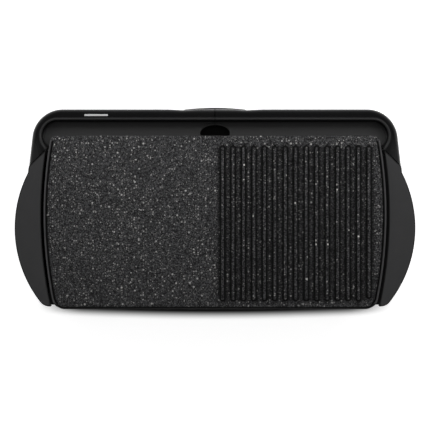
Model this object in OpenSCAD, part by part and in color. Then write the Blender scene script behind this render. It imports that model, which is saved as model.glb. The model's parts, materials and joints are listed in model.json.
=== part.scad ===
// Table-top electric griddle with a half flat, half ribbed cooking plate.
// The front, where the fat gutter and the drip tray are, faces -Y, and the socket faces +Y.
// The origin is on the table, under the middle of the griddle.

/* [Overall] */
// Width over the two handles
overall_w = 560; // [540:2:680]
// Depth from the drip tray's front to the plate's rear edge
overall_d = 283; // [270:1:345]
// Height of the frame's underside above the table
leg_h = 34; // [28:1:44]
// Height of the frame from its underside to the top of the front rim
frame_h = 46; // [44:1:56]

/* [Plate] */
// Depth of the cooking surface below the top of the front rim
plate_drop = 2; // [1:0.5:3]
// Thickness of the plate's web
plate_t = 5; // [4:0.5:6.5]
// Height of the side lips above the cooking surface
lip_h = 3; // [2:0.5:4]
// Width of the side lips
lip_w = 2; // [1.5:0.5:3]
// Depth of the skirt under the plate
skirt_h = 11; // [9:1:12]
// Radius of the plate's rear corners
plate_corner_r = 18; // [12:1:24]
// Radius of the plate's front corners
plate_front_r = 10; // [6:1:12]
// Radius of the gentle outward bow of the plate's sides
side_r = 600; // [500:20:900]
// Distance from one rib to the next
rib_pitch = 14.6; // [12:0.2:18]
// Width of a rib
rib_w = 4.6; // [3.5:0.1:5.5]
// Height of a rib above the cooking surface
rib_h = 3; // [2:0.5:4]

/* [Frame] */
// Width of the rim in front of the gutter
bar_w = 15; // [12:1:18]
// Radius of the frame's front corners
corner_r = 43; // [36:1:48]
// Width of the gutter, half of it under the plate
gutter_w = 43; // [38:1:52]
// Depth of the gutter below the top of the rim
gutter_h = 14; // [12:0.5:15]
// Thickness of the moulded walls
wall = 2.5; // [2:0.1:3]
// Gap between the plate and the frame around it
plate_gap = 0.8; // [0.6:0.1:1.2]
// Length of the drain hole along the gutter
drain_l = 41; // [30:1:46]
// Width of the drain hole across the gutter
drain_w = 23; // [18:1:26]

/* [Handles] */
// Widest part of a handle, from the slot beside the plate to its outer edge
handle_w = 37; // [32:0.2:45]
// Width of the slot between a handle and the plate's lip
slot_w = 4.2; // [3.5:0.1:6]
// Thickness of the handle covers
cover_t = 4; // [3.5:0.5:5]
// Thickness of the arms under the handle covers
arm_h = 14; // [13:1:18]

/* [Drip tray] */
// Width of the drip tray's front
tray_w = 88; // [74:1:106]
// Depth of the drip tray from its front to its back
tray_d = 80; // [66:1:96]
// Height of the drip tray's basin
tray_h = 23; // [19:1:24]
// How far the drip tray's front stands out beyond the frame
tray_pull = 3; // [2:0.5:4]
// Clearance around the drip tray
tray_gap = 0.8; // [0.6:0.1:1.2]

/* [Heating] */
// Radius of the tubular heating element
tube_r = 4; // [3.2:0.1:4.5]
// Radius of the element's bends
bend_r = 20; // [16:1:24]
// Distance between the two contact pins
pin_pitch = 28; // [24:1:34]
// Radius of the contact pins
pin_r = 2.5; // [2:0.1:3]
// Radius of the bore that takes the thermostat's probe
probe_r = 4; // [3:0.1:4.2]
// Length of the probe's guide
probe_l = 58; // [44:1:68]
// Width of the socket's guard
guard_w = 64; // [56:1:76]

/* [Hidden] */
$fn = 48;
eps = 0.01;      // small overlap that joins touching shapes
fit = 0.1;       // running clearance of screws and spigots in their holes
head_h = 2.4;    // height of a screw's head
small_r = 1.4;   // radius of the plate's screws
screw_r = 1.6;   // radius of the frame's screws
leg_screw_r = 2; // radius of the legs' screws
spigot_r = 3;    // radius of the spigots under the heat-proof pads
rest_r = 8;      // radius of the heat-proof pads
seam = 0.4;      // gap of the seam between the two frame halves
arc_n = 24;      // steps along a long arc
round_n = 10;    // steps round a corner

// Levels, from the table up
frame_z = leg_h;
rim_z = frame_z + frame_h;
cook_z = rim_z - plate_drop;
web_z = cook_z - plate_t;
skirt_z = web_z - skirt_h;
gutter_z = rim_z - gutter_h;
arm_top_z = rim_z - cover_t;
arm_z = arm_top_z - arm_h;
shelf_top_z = frame_z + 18;
shelf_t = 4;
flange_z = shelf_top_z - shelf_t;
flange_t = 4;
sheet_t = 1;
rest_top_z = skirt_z - 2;
tube_z = web_z - tube_r - 3;

// Places across the depth
front_y = -overall_d / 2 + tray_pull;
rear_y = overall_d / 2;
gutter_r = gutter_w / 2;
gutter_y = front_y + bar_w + 1 + gutter_r;
gutter_back_y = gutter_y + gutter_r + wall;
shelf_back_y = gutter_back_y + 17;
plate_front_y = gutter_y - 0.5;
side_mid_y = (front_y + bar_w + rear_y) / 2;
handle_mid_y = rear_y - 114;
tip_y = rear_y - 4;
tip_r = 16;
ledge_y0 = gutter_back_y + 12;
ledge_y1 = rear_y - 42;
bar_back_y = rear_y - 9;
bar_front_y = bar_back_y - 21;

// Places across the width
slot_x = overall_w / 2 - handle_w;
lip_x = slot_x - slot_w;
corner_x = overall_w / 2 - 67;
gutter_x = slot_x - 1;

// Places of the fixings
leg_x = slot_x - 38;
leg_front_y = gutter_y - 8;
leg_rear_y = bar_front_y + 8;
rest_x = slot_x - 73;
rest_front_y = gutter_back_y + 9;
rest_rear_y = bar_front_y + 10;
carrier_x = tray_w / 2 + 16;
bar_screw_x = leg_x - 19;
carrier_ys = [front_y + 12, gutter_back_y - 8];
arm_screw_xs = [slot_x - 34, slot_x - 21];

// Points along an arc about [cx, cy]
function arc(cx, cy, r, a0, a1, n) =
    [for (i = [0:n]) let (a = a0 + (a1 - a0) * i / n) [cx + r * cos(a), cy + r * sin(a)]];

// Half width at depth y of a side bowed about the widest half width x
function bowed(x, y) = x - side_r + sqrt(side_r * side_r - pow(y - side_mid_y, 2));

// Points along a bowed side, from y0 to y1
function bow_points(x, y0, y1) =
    [for (i = [0:arc_n]) let (y = y0 + (y1 - y0) * i / arc_n) [bowed(x, y), y]];

// Outline of a bowed strip between the half widths x0 and x1
function strip_points(x0, x1, y0, y1) =
    concat(bow_points(x0, y0, y1), [for (i = [arc_n:-1:0]) bow_points(x1, y0, y1)[i]]);

// Points on both sides of the middle, from those on the +X side
function both_sides(right) =
    concat(right, [for (i = [len(right) - 1:-1:0]) [-right[i][0], right[i][1]]]);

// Outer edge of the frame: front corner, then a side that flares out to the handle
flare_a = 6.3;
handle_y0 = front_y + 89;
handle_x0 = corner_x + corner_r * cos(flare_a)
    + (handle_y0 - front_y - corner_r + corner_r * sin(flare_a)) * tan(flare_a);
handle_bulge = overall_w / 2 - handle_x0;
handle_run = handle_mid_y - handle_y0;
handle_r = (handle_run * handle_run + handle_bulge * handle_bulge) / (2 * handle_bulge);
handle_cx = overall_w / 2 - handle_r;
tip_x = handle_cx + sqrt(pow(handle_r - tip_r, 2) - pow(tip_y - tip_r - handle_mid_y, 2));
tip_a = atan2(tip_y - tip_r - handle_mid_y, tip_x - handle_cx);
start_a = -asin(handle_run / handle_r);

// The slanting seam where a handle cover meets the frame's corner
seam_in = [bowed(slot_x, front_y + 56), front_y + 56];
seam_out_y = front_y + 79;
seam_out = [handle_x0 - (handle_y0 - seam_out_y) * tan(flare_a), seam_out_y];

// Outline of a handle, drawn in by inset on every free edge
function handle_points(inset, gap) = concat(
    [seam_in + [inset, gap + inset * 1.4]],
    [seam_out + [-inset, gap]],
    arc(handle_cx, handle_mid_y, handle_r - inset, start_a, tip_a, arc_n),
    arc(tip_x, tip_y - tip_r, tip_r - inset, tip_a, 98, round_n),
    [for (i = [arc_n:-1:1])
        let (y = seam_in[1] + (tip_y - 4 - seam_in[1]) * i / arc_n)
        [bowed(slot_x, y) + inset, min(y, tip_y - 4 - inset)]]
);

// Outline of the frame's front part, drawn in by inset
function front_points(inset) = concat(
    [[seam / 2, front_y + inset]],
    arc(corner_x, front_y + corner_r, corner_r - inset, -90, -flare_a, round_n),
    [seam_out - [inset, inset * 0.5]],
    [seam_in + [0, -inset * 0.5]],
    [[bowed(slot_x, gutter_back_y) - 6, gutter_back_y - inset]],
    [[seam / 2, gutter_back_y - inset]]
);

// Where a corner arc of radius r about the depth y touches the plate's bowed side:
// the arc's middle across the width, and the angle at which they meet
function corner_mid(r, y) =
    lip_x - side_r + sqrt(pow(side_r - r, 2) - pow(y - side_mid_y, 2));
function corner_angle(r, y) = asin((y - side_mid_y) / (side_r - r));

// Outline of the plate, drawn in by inset, with its front edge at y0
function plate_points(inset, y0) =
    let (
        r0 = plate_front_r,
        r1 = plate_corner_r,
        y_a = y0 + r0 - inset,
        y_b = rear_y - r1,
        a0 = corner_angle(r0, y_a),
        a1 = corner_angle(r1, y_b)
    )
    both_sides(concat(
        arc(corner_mid(r0, y_a), y_a, r0 - inset, -90, a0, round_n),
        arc(lip_x - side_r, side_mid_y, side_r - inset, a0, a1, arc_n),
        arc(corner_mid(r1, y_b), y_b, r1 - inset, a1, 90, round_n)
    ));

module slab(z0, z1) {
    translate([0, 0, z0]) linear_extrude(z1 - z0) children();
}

module box(lo, hi) {
    translate(lo) cube(hi - lo);
}

module post(x, y, z0, z1, r) {
    translate([x, y, z0]) cylinder(h = z1 - z0, r = r);
}

// A round bar along Y
module rod_y(x, z, y0, y1, r) {
    translate([x, y0, z]) rotate([-90, 0, 0]) cylinder(h = y1 - y0, r = r);
}

// Both mirror images about the middle
module pair() {
    children();
    mirror([1, 0, 0]) children();
}

// A screw that points up, with its head's underside at z
module screw_up(x, y, z, reach, r) {
    post(x, y, z - head_h, z, 1.9 * r);
    post(x, y, z - eps, z + reach, r);
}

// A bar of half length x with round ends of radius r, along X
module stadium(x, r) {
    polygon(concat(arc(x, 0, r, -90, 90, 2 * round_n), arc(-x, 0, r, 90, 270, 2 * round_n)));
}

/* ---- the plate and what hangs under it ---- */

rib_y0 = plate_front_y + 16;
rib_y1 = rear_y - 13;
rib_x0 = 10.6;
rib_x1 = lip_x - 20;

// Ribs with round ends, on the -X half of the plate
module ribs() {
    for (x = [rib_x0:rib_pitch:rib_x1]) {
        slab(cook_z - 1, cook_z + rib_h)
            translate([-x, (rib_y0 + rib_y1) / 2]) rotate(90)
                stadium((rib_y1 - rib_y0 - rib_w) / 2, rib_w / 2);
    }
}

// The element's route on the +X side
route_rear_y = bar_front_y - 27;
route_front_y = gutter_back_y + 28;
route_mid_y = route_rear_y - 43;
route_x = slot_x - 38;
loop_x = route_x - 130;

// Places where a clamp holds the element, on its straight runs along X
clamp_spots = [
    [route_x - 60, route_rear_y], [route_x - 130, route_rear_y], [route_x - 55, route_front_y]
];
clamp_reach = 9;

module clamp_places() {
    for (spot = clamp_spots) pair() translate([spot[0], spot[1], 0]) children();
}

guard_y0 = bar_front_y + 1;
guard_y1 = rear_y - 7;
guard_z0 = shelf_top_z + 3;
guard_top_z = web_z - 0.5;
guard_t = 1.5;
ear_x = guard_w / 2 + 7;
ear_y = guard_y0 + 8;
skirt_front_y = gutter_back_y + 3;
skirt_t = 3;

module cooking_plate() {
    color("#2f2f31") difference() {
        union() {
            slab(web_z, cook_z) polygon(plate_points(0, plate_front_y));
            intersection() {
                slab(cook_z - eps, cook_z + lip_h) difference() {
                    polygon(plate_points(0, plate_front_y));
                    polygon(plate_points(lip_w, plate_front_y - 1));
                }
                box([-overall_w, plate_front_y + 3, 0], [overall_w, rear_y - 7, rim_z * 2]);
            }
            slab(skirt_z, web_z + eps) difference() {
                polygon(plate_points(skirt_t, skirt_front_y));
                polygon(plate_points(2 * skirt_t, skirt_front_y + skirt_t));
            }
            box([-lip_x + 30, plate_front_y, web_z - 2], [lip_x - 30, plate_front_y + 4, web_z + eps]);
            ribs();
            for (y = [rest_front_y, rest_rear_y]) pair() post(rest_x, y, rest_top_z, web_z + eps, rest_r);
            clamp_places() for (s = [-1, 1]) {
                post(0, s * clamp_reach, tube_z - tube_r, web_z + eps, 3.2);
            }
            clamp_places() box([-8, -6, tube_z], [8, 6, web_z + eps]);
            box([-9, guard_y0 - probe_l + 6, tube_z], [9, guard_y0 - 8, web_z + eps]);
            pair() post(ear_x, ear_y, guard_top_z, web_z + eps, 4);
        }
        clamp_places() translate([-20, 0, tube_z]) rotate([0, 90, 0])
            cylinder(h = 40, r = tube_r + fit);
        clamp_places() for (s = [-1, 1]) {
            post(0, s * clamp_reach, tube_z - tube_r - 1, web_z + 1, small_r + fit);
        }
        pair() post(ear_x, ear_y, guard_top_z - 1, web_z + 3.5, small_r + fit);
        rod_y(0, tube_z, 0, rear_y, probe_r + 1 + fit);
        box([-guard_w / 2 - 2, guard_y1 - 8, skirt_z - 1], [guard_w / 2 + 2, rear_y + 1, web_z]);
    }
}

// A quarter bend of the element about [x, y], from angle a over a quarter turn
module bend(x, y, a) {
    translate([x, y, tube_z]) rotate([0, 0, a]) rotate_extrude(angle = 90)
        translate([bend_r, 0]) circle(r = tube_r);
}

module run_x(x0, x1, y) {
    translate([x0, y, tube_z]) rotate([0, 90, 0]) cylinder(h = x1 - x0, r = tube_r);
}

module run_y(x, y0, y1) {
    rod_y(x, tube_z, y0, y1, tube_r);
}

insulator_y0 = guard_y0 - 4;
insulator_y1 = guard_y0 + 5;
pin_x = pin_pitch / 2;

// One tube in a loop: out along the rear, forward at the sides, back along the front,
// and up to a bridge across the middle
module heating_element() {
    color("#8d8f92") pair() {
        run_y(pin_x, route_rear_y + bend_r, insulator_y0);
        bend(pin_x + bend_r, route_rear_y + bend_r, 180);
        run_x(pin_x + bend_r, route_x - bend_r, route_rear_y);
        bend(route_x - bend_r, route_rear_y - bend_r, 0);
        run_y(route_x, route_front_y + bend_r, route_rear_y - bend_r);
        bend(route_x - bend_r, route_front_y + bend_r, 270);
        run_x(loop_x + bend_r, route_x - bend_r, route_front_y);
        bend(loop_x + bend_r, route_front_y + bend_r, 180);
        run_y(loop_x, route_front_y + bend_r, route_mid_y - bend_r);
        bend(loop_x - bend_r, route_mid_y - bend_r, 0);
        run_x(0, loop_x - bend_r, route_mid_y);
    }
}

clamp_t = 1.2;

// Flat straps across the element, screwed to the plate on both sides of it
module element_clamps() {
    z = tube_z - tube_r;
    color("#b9bbbd") clamp_places() difference() {
        box([-4, -clamp_reach - 4, z - clamp_t - fit], [4, clamp_reach + 4, z - fit]);
        for (s = [-1, 1]) post(0, s * clamp_reach, z - 3, z + 1, small_r + fit);
    }
}

module clamp_screws() {
    color("#c8c9cb") clamp_places() for (s = [-1, 1]) {
        screw_up(0, s * clamp_reach, tube_z - tube_r - clamp_t - fit, 8, small_r);
    }
}

// The element's two cold ends, which the thermostat's plug grips
module contact_pins() {
    color("#c9ccd0") pair() rod_y(pin_x, tube_z, insulator_y0, guard_y1 - 3, pin_r);
}

module pin_insulators() {
    color("#efece4") pair() difference() {
        union() {
            rod_y(pin_x, tube_z, insulator_y0, insulator_y1, pin_r + 2);
            rod_y(pin_x, tube_z, insulator_y0, guard_y0, pin_r + 3.2);
        }
        rod_y(pin_x, tube_z, insulator_y0 - 1, insulator_y1 + 1, pin_r + fit / 2);
    }
}

// Tube that leads the thermostat's probe to the plate
module probe_guide() {
    color("#a9abae") difference() {
        rod_y(0, tube_z, guard_y0 - probe_l + 2, guard_y0 + 2, probe_r + 1);
        rod_y(0, tube_z, guard_y0 - probe_l + 1, guard_y0 + 3, probe_r);
    }
}

// Shroud round the pins, open to the rear
module socket_guard() {
    x = guard_w / 2;
    color("#b4b6b8") difference() {
        union() {
            box([-x, guard_y0, guard_z0], [x, guard_y1, guard_top_z]);
            box([-ear_x - 6, ear_y - 6, guard_top_z - guard_t], [ear_x + 6, ear_y + 6, guard_top_z]);
        }
        box([-x + guard_t, guard_y0 + guard_t, guard_z0 + guard_t],
            [x - guard_t, guard_y1 + 1, guard_top_z - guard_t]);
        pair() rod_y(pin_x, tube_z, guard_y0 - 1, guard_y0 + 3, pin_r + 2 + fit);
        rod_y(0, tube_z, guard_y0 - 1, guard_y0 + 3, probe_r + 1 + fit);
        pair() post(ear_x, ear_y, guard_top_z - 4, guard_top_z + 1, small_r + fit);
    }
}

module guard_screws() {
    color("#c8c9cb") pair() screw_up(ear_x, ear_y, guard_top_z - guard_t, 4.5, small_r);
}

/* ---- the frame ---- */

handle_screw_a = [-16, 6, 28];
boss_r = 5;
boss_lift = 4;

// Places of the screws that hold a handle cover, along the middle of its arc
module handle_screw_places() {
    for (a = handle_screw_a) {
        y = handle_mid_y + (handle_r - 14) * sin(a * 167 / handle_r);
        x = handle_cx + (handle_r - 14) * cos(a * 167 / handle_r);
        translate([x, y, 0]) children();
    }
}

// Space that the drip tray passes through
module tray_bay() {
    x = tray_w / 2 + tray_gap;
    box([-x, front_y - 10, frame_z - 1], [x, gutter_back_y + 10, tray_top_z + tray_gap]);
    box([-x - 4, gutter_back_y - wall - 1, frame_z - 1],
        [x + 4, gutter_back_y + 10, tray_top_z + tray_gap]);
}

module drain_hole(grow) {
    slab(frame_z, rim_z) polygon([for (i = [0:35])
        [(drain_l / 2 + grow) * cos(i * 10), gutter_y - 4 + (drain_w / 2 + grow) * sin(i * 10)]]);
}

// The +X half of the frame's front, as one moulding: rim, gutter and corner
module front_frame() {
    floor_z = gutter_z - wall;
    difference() {
        union() {
            difference() {
                slab(frame_z, rim_z) polygon(front_points(0));
                slab(frame_z - 1, floor_z) polygon(front_points(wall));
                slab(frame_z, rim_z - 3) difference() {
                    polygon(front_points(wall));
                    translate([0, gutter_y]) stadium(gutter_x - gutter_r, gutter_r + wall);
                }
            }
            intersection() {
                drain_hole(wall);
                box([seam / 2, front_y, floor_z - 2], [drain_l, rear_y, gutter_z]);
            }
            box([tray_w / 2 + 16, gutter_back_y - 1, shelf_top_z - shelf_t],
                [slot_x - 16, shelf_back_y, shelf_top_z]);
            post(leg_x, leg_front_y, frame_z, floor_z + eps, 9);
            for (y = carrier_ys) post(carrier_x, y, frame_z, floor_z + eps, boss_r);
        }
        slab(gutter_z, rim_z + 1) translate([0, gutter_y]) stadium(gutter_x - gutter_r, gutter_r);
        slab(web_z - 1, rim_z + 9) polygon(plate_points(-plate_gap, plate_front_y - plate_gap));
        drain_hole(0);
        tray_bay();
        post(leg_x, leg_front_y, frame_z - 1, frame_z + 12, leg_screw_r + fit);
        for (y = carrier_ys) post(carrier_x, y, frame_z - 1, frame_z + 10, screw_r + fit);
        post(rest_x, rest_front_y, shelf_top_z - 6, shelf_top_z + 1, spigot_r + fit);
        post(reflector_x, rest_front_y, shelf_top_z - 6, shelf_top_z + 1, screw_r + fit);
        for (x = arm_screw_xs) post(x, rest_front_y, shelf_top_z - 6, shelf_top_z + 1, screw_r + fit);
    }
}

module front_frame_right() {
    color("#191919") difference() {
        front_frame();
        strip_box(fit);
    }
}

module front_frame_left() {
    color("#191919") mirror([1, 0, 0]) front_frame();
}

// The arm under a handle cover, with the ledge beside the plate and the wall below it
module side_arm() {
    wall_y0 = gutter_back_y + fit;
    color("#1b1b1b") difference() {
        union() {
            difference() {
                slab(arm_z, arm_top_z) polygon(handle_points(0, 2 * fit));
                slab(arm_z - 1, arm_top_z - 3) polygon(handle_points(wall, 2));
            }
            handle_screw_places() post(0, 0, arm_z + boss_lift, arm_top_z - 1, boss_r);
            slab(arm_z + 2, arm_top_z)
                polygon(strip_points(lip_x + plate_gap, slot_x + 1, ledge_y0, ledge_y1));
            slab(frame_z, arm_z + 1)
                polygon(strip_points(slot_x, slot_x + 3, wall_y0, tip_y - 8));
            slab(frame_z, frame_z + 4) polygon([
                [leg_x - 26, bar_front_y], [bowed(slot_x + 1, bar_front_y), bar_front_y],
                [bowed(slot_x + 1, bar_back_y - 3), bar_back_y - 3], [leg_x - 26, bar_back_y - 3]
            ]);
            box([slot_x - 40, wall_y0, flange_z - flange_t],
                [bowed(slot_x + 1, wall_y0), shelf_back_y, flange_z]);
        }
        handle_screw_places() post(0, 0, arm_z - 1, rim_z, 2);
        post(leg_x, leg_rear_y, frame_z - 1, frame_z + 6, leg_screw_r + fit);
        post(bar_screw_x, leg_rear_y, frame_z - 1, frame_z + 6, screw_r + fit);
        for (x = arm_screw_xs) post(x, rest_front_y, flange_z - 5, flange_z + 1, screw_r + fit);
    }
}

module side_arm_right() {
    side_arm();
}

module side_arm_left() {
    mirror([1, 0, 0]) side_arm();
}

// Screws up through the arms' flanges into the front frame's shelves
module arm_screws() {
    color("#c8c9cb") pair() for (x = arm_screw_xs) {
        screw_up(x, rest_front_y, flange_z - flange_t, 8, screw_r);
    }
}

// A matte crescent that lies on an arm
module handle_cover() {
    color("#333334") difference() {
        slab(arm_top_z, rim_z) polygon(handle_points(0, seam));
        handle_screw_places() post(0, 0, arm_top_z - 1, arm_top_z + 3.2, screw_r + fit);
    }
}

module handle_cover_right() {
    handle_cover();
}

module handle_cover_left() {
    mirror([1, 0, 0]) handle_cover();
}

module handle_screws() {
    color("#c8c9cb") pair() handle_screw_places() screw_up(0, 0, arm_z + boss_lift, arm_h - 1.2, screw_r);
}

strip_w = 33;
strip_d = 2.6;
strip_x = slot_x - 77;
strip_y = front_y + 8.6;

module strip_box(grow) {
    box([strip_x - strip_w / 2 - grow, strip_y - strip_d / 2 - grow, rim_z - 0.6],
        [strip_x + strip_w / 2 + grow, strip_y + strip_d / 2 + grow, rim_z + 0.3]);
}

// A plain strip with no lettering, let into the rim
module name_strip() {
    color("#e6e6e6") strip_box(0);
}

/* ---- the rear crossbar and the reflector ---- */

tray_back_y = front_y - tray_pull + tray_d;
carrier_t = 2;
block_x = leg_x - 24;

module rear_crossbar() {
    x = bowed(slot_x, bar_back_y) - 0.3;
    color("#1b1b1b") difference() {
        union() {
            box([-x, bar_front_y, shelf_top_z - shelf_t], [x, bar_back_y, shelf_top_z]);
            box([-x, bar_back_y - 3, frame_z + 4], [x, bar_back_y, shelf_top_z + 6]);
            pair() box([block_x, bar_front_y, frame_z + 4], [x, bar_back_y, shelf_top_z]);
        }
        box([-guard_w / 2 - 4, bar_back_y - 4, shelf_top_z + sheet_t],
            [guard_w / 2 + 4, bar_back_y + 1, shelf_top_z + 7]);
        pair() {
            post(leg_x, leg_rear_y, frame_z, frame_z + 12, leg_screw_r + fit);
            post(bar_screw_x, leg_rear_y, frame_z, frame_z + 12, screw_r + fit);
            post(rest_x, rest_rear_y, shelf_top_z - 6, shelf_top_z + 1, spigot_r + fit);
            post(reflector_x, rest_rear_y, shelf_top_z - 6, shelf_top_z + 1, screw_r + fit);
        }
    }
}

module crossbar_screws() {
    color("#c8c9cb") pair() screw_up(bar_screw_x, leg_rear_y, frame_z, 12, screw_r);
}

reflector_x = rest_x - 50;
pan_x = bowed(slot_x, bar_front_y) - 10;
pan_y0 = max(tray_back_y + tray_gap + carrier_t, shelf_back_y) + 1;
pan_y1 = bar_front_y - 2;
pan_z = shelf_top_z - 9;

// A shallow tray of sheet metal that throws the heat up to the plate
module heat_reflector() {
    color("#a7a9ab") difference() {
        union() {
            box([-pan_x, pan_y0, pan_z], [pan_x, pan_y1, shelf_top_z + sheet_t]);
            box([-pan_x, pan_y1 - eps, shelf_top_z], [pan_x, bar_back_y - 4, shelf_top_z + sheet_t]);
            pair() box([tray_w / 2 + 18, gutter_back_y + 1, shelf_top_z],
                [pan_x, pan_y0 + eps, shelf_top_z + sheet_t]);
        }
        box([-pan_x + sheet_t, pan_y0 + sheet_t, pan_z + sheet_t],
            [pan_x - sheet_t, pan_y1 - sheet_t, shelf_top_z + 5]);
        for (y = [rest_front_y, rest_rear_y]) pair() {
            post(rest_x, y, shelf_top_z - 1, shelf_top_z + 3, spigot_r + fit);
            post(reflector_x, y, shelf_top_z - 1, shelf_top_z + 3, screw_r + fit);
        }
    }
}

module reflector_screws() {
    color("#c8c9cb") for (y = [rest_front_y, rest_rear_y]) pair() {
        post(reflector_x, y, shelf_top_z + sheet_t, shelf_top_z + sheet_t + head_h, 2 * screw_r);
        post(reflector_x, y, shelf_top_z - shelf_t, shelf_top_z + sheet_t + eps, screw_r);
    }
}

// Heat-proof pads that the plate stands on, each with a spigot in the frame
module plate_rests() {
    color("#5a4a40") for (y = [rest_front_y, rest_rear_y]) pair() {
        post(rest_x, y, shelf_top_z + sheet_t, rest_top_z, rest_r);
        post(rest_x, y, shelf_top_z - shelf_t, shelf_top_z + sheet_t + eps, spigot_r);
    }
}

/* ---- the drip tray and its carrier ---- */

tray_z = frame_z + 0.5;
tray_top_z = tray_z + tray_h + 4;
tray_t = 2;

// Outline of the drip tray's crowned front
function tray_front_points() =
    let (
        half = tray_w / 2,
        crown = tray_pull * 0.6,
        r = (half * half + crown * crown) / (2 * crown),
        a = asin(half / r)
    )
    concat(
        arc(0, front_y - tray_pull + r, r, 270 - a, 270 + a, arc_n),
        [[half, front_y + 1], [-half, front_y + 1]]
    );

module drip_tray() {
    x = tray_w / 2 - 0.5;
    color("#202020") difference() {
        union() {
            slab(tray_z, tray_top_z) polygon(tray_front_points());
            box([-x, front_y, tray_z], [x, tray_back_y, tray_z + tray_h]);
        }
        box([-x + tray_t, front_y + tray_t, tray_z + tray_t],
            [x - tray_t, tray_back_y - tray_t, tray_top_z + 1]);
    }
}

// A channel under the gutter that guides the tray and ties the two frame halves together
module tray_carrier() {
    x = tray_w / 2 + tray_gap;
    y0 = front_y + wall + 1;
    y1 = tray_back_y + tray_gap;
    color("#232324") difference() {
        union() {
            box([-x - carrier_t, y0, frame_z - carrier_t], [x + carrier_t, y1 + carrier_t, frame_z]);
            box([-carrier_x - 8, y0, frame_z - carrier_t], [carrier_x + 8, gutter_back_y, frame_z]);
            pair() box([x, y0, frame_z - carrier_t], [x + carrier_t, y1 + carrier_t, frame_z + 12]);
            box([-x, y1, frame_z - carrier_t], [x, y1 + carrier_t, frame_z + 8]);
        }
        for (y = carrier_ys) pair() {
            post(carrier_x, y, frame_z - 4, frame_z + 1, screw_r + fit);
        }
    }
}

module carrier_screws() {
    color("#c8c9cb") for (y = carrier_ys) pair() {
        screw_up(carrier_x, y, frame_z - carrier_t, 11, screw_r);
    }
}

/* ---- the legs ---- */

foot_h = 4;
leg_bore_r = 5;
leg_bore_z = frame_z - 8;
leg_top_r = 15;
leg_foot_r = 11;
foot_r = leg_foot_r - 0.5;
plug_h = 7;

module leg(x, y) {
    color("#1f1f20") difference() {
        translate([x, y, foot_h])
            cylinder(h = frame_z - foot_h, r1 = leg_foot_r, r2 = leg_top_r);
        post(x, y, foot_h - 1, leg_bore_z, leg_bore_r);
        post(x, y, foot_h, frame_z + 1, leg_screw_r + fit);
    }
}

module leg_front_left() {
    leg(-leg_x, leg_front_y);
}

module leg_front_right() {
    leg(leg_x, leg_front_y);
}

module leg_rear_left() {
    leg(-leg_x, leg_rear_y);
}

module leg_rear_right() {
    leg(leg_x, leg_rear_y);
}

module leg_screws() {
    color("#c8c9cb") for (y = [leg_front_y, leg_rear_y]) pair() {
        screw_up(leg_x, y, leg_bore_z, 18, leg_screw_r);
    }
}

module rubber_feet() {
    color("#151515") for (y = [leg_front_y, leg_rear_y]) pair() {
        post(leg_x, y, 0, foot_h, foot_r);
        post(leg_x, y, foot_h - eps, foot_h + plug_h, leg_bore_r - fit / 2);
    }
}

cooking_plate();
heating_element();
element_clamps();
clamp_screws();
contact_pins();
pin_insulators();
probe_guide();
socket_guard();
guard_screws();
front_frame_left();
front_frame_right();
side_arm_left();
side_arm_right();
arm_screws();
handle_cover_left();
handle_cover_right();
handle_screws();
rear_crossbar();
crossbar_screws();
tray_carrier();
carrier_screws();
drip_tray();
heat_reflector();
reflector_screws();
plate_rests();
leg_front_left();
leg_front_right();
leg_rear_left();
leg_rear_right();
leg_screws();
rubber_feet();
name_strip();
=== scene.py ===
import json
import math

import bmesh
import bpy
import numpy as np
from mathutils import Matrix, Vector


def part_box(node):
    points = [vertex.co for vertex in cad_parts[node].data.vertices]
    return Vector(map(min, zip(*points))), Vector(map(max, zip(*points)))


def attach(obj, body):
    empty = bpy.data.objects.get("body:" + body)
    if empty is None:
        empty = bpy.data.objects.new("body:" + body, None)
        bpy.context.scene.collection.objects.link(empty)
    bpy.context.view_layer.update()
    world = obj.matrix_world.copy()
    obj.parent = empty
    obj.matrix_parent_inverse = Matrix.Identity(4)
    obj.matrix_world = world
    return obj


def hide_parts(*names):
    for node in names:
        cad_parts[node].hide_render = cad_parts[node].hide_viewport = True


bl_info = {
    "name": "Electric Griddle",
    "version": (1, 0, 0),
    "blender": (4, 5, 0),
    "location": "View3D > Sidebar > Griddle",
    "description": "Builds the surfaces and finishes of an electric griddle round its frame",
    "category": "Object",
}

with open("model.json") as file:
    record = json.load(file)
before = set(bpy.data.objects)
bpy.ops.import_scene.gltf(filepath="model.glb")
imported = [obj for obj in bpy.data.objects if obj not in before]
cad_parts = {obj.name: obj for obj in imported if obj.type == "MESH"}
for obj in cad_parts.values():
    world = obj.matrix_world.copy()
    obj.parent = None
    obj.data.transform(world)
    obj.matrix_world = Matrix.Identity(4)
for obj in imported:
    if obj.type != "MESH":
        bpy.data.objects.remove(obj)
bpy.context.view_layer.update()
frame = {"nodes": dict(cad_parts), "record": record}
MM = 0.001


def box_mm(node):
    """Lowest and highest corner of a node, in millimetres."""
    lo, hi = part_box(node)
    return np.round(np.array(lo) / MM, 2), np.round(np.array(hi) / MM, 2)


# ---- sizes read from the frame, in millimetres ----

PLATE_LO, PLATE_HI = box_mm("cooking_plate")
RIM_LO, RIM_HI = box_mm("front_frame_right")
COVER_LO, COVER_HI = box_mm("handle_cover_right")
TRAY_LO, TRAY_HI = box_mm("drip_tray")
BAR_LO, BAR_HI = box_mm("rear_crossbar")
PAN_LO, PAN_HI = box_mm("heat_reflector")
LEG_LO, LEG_HI = box_mm("leg_front_right")
REAR_LEG_LO, REAR_LEG_HI = box_mm("leg_rear_right")
ELEMENT_LO, ELEMENT_HI = box_mm("heating_element")
GUARD_LO, GUARD_HI = box_mm("socket_guard")
REST_LO, REST_HI = box_mm("plate_rests")
STRIP_LO, STRIP_HI = box_mm("name_strip")

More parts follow.
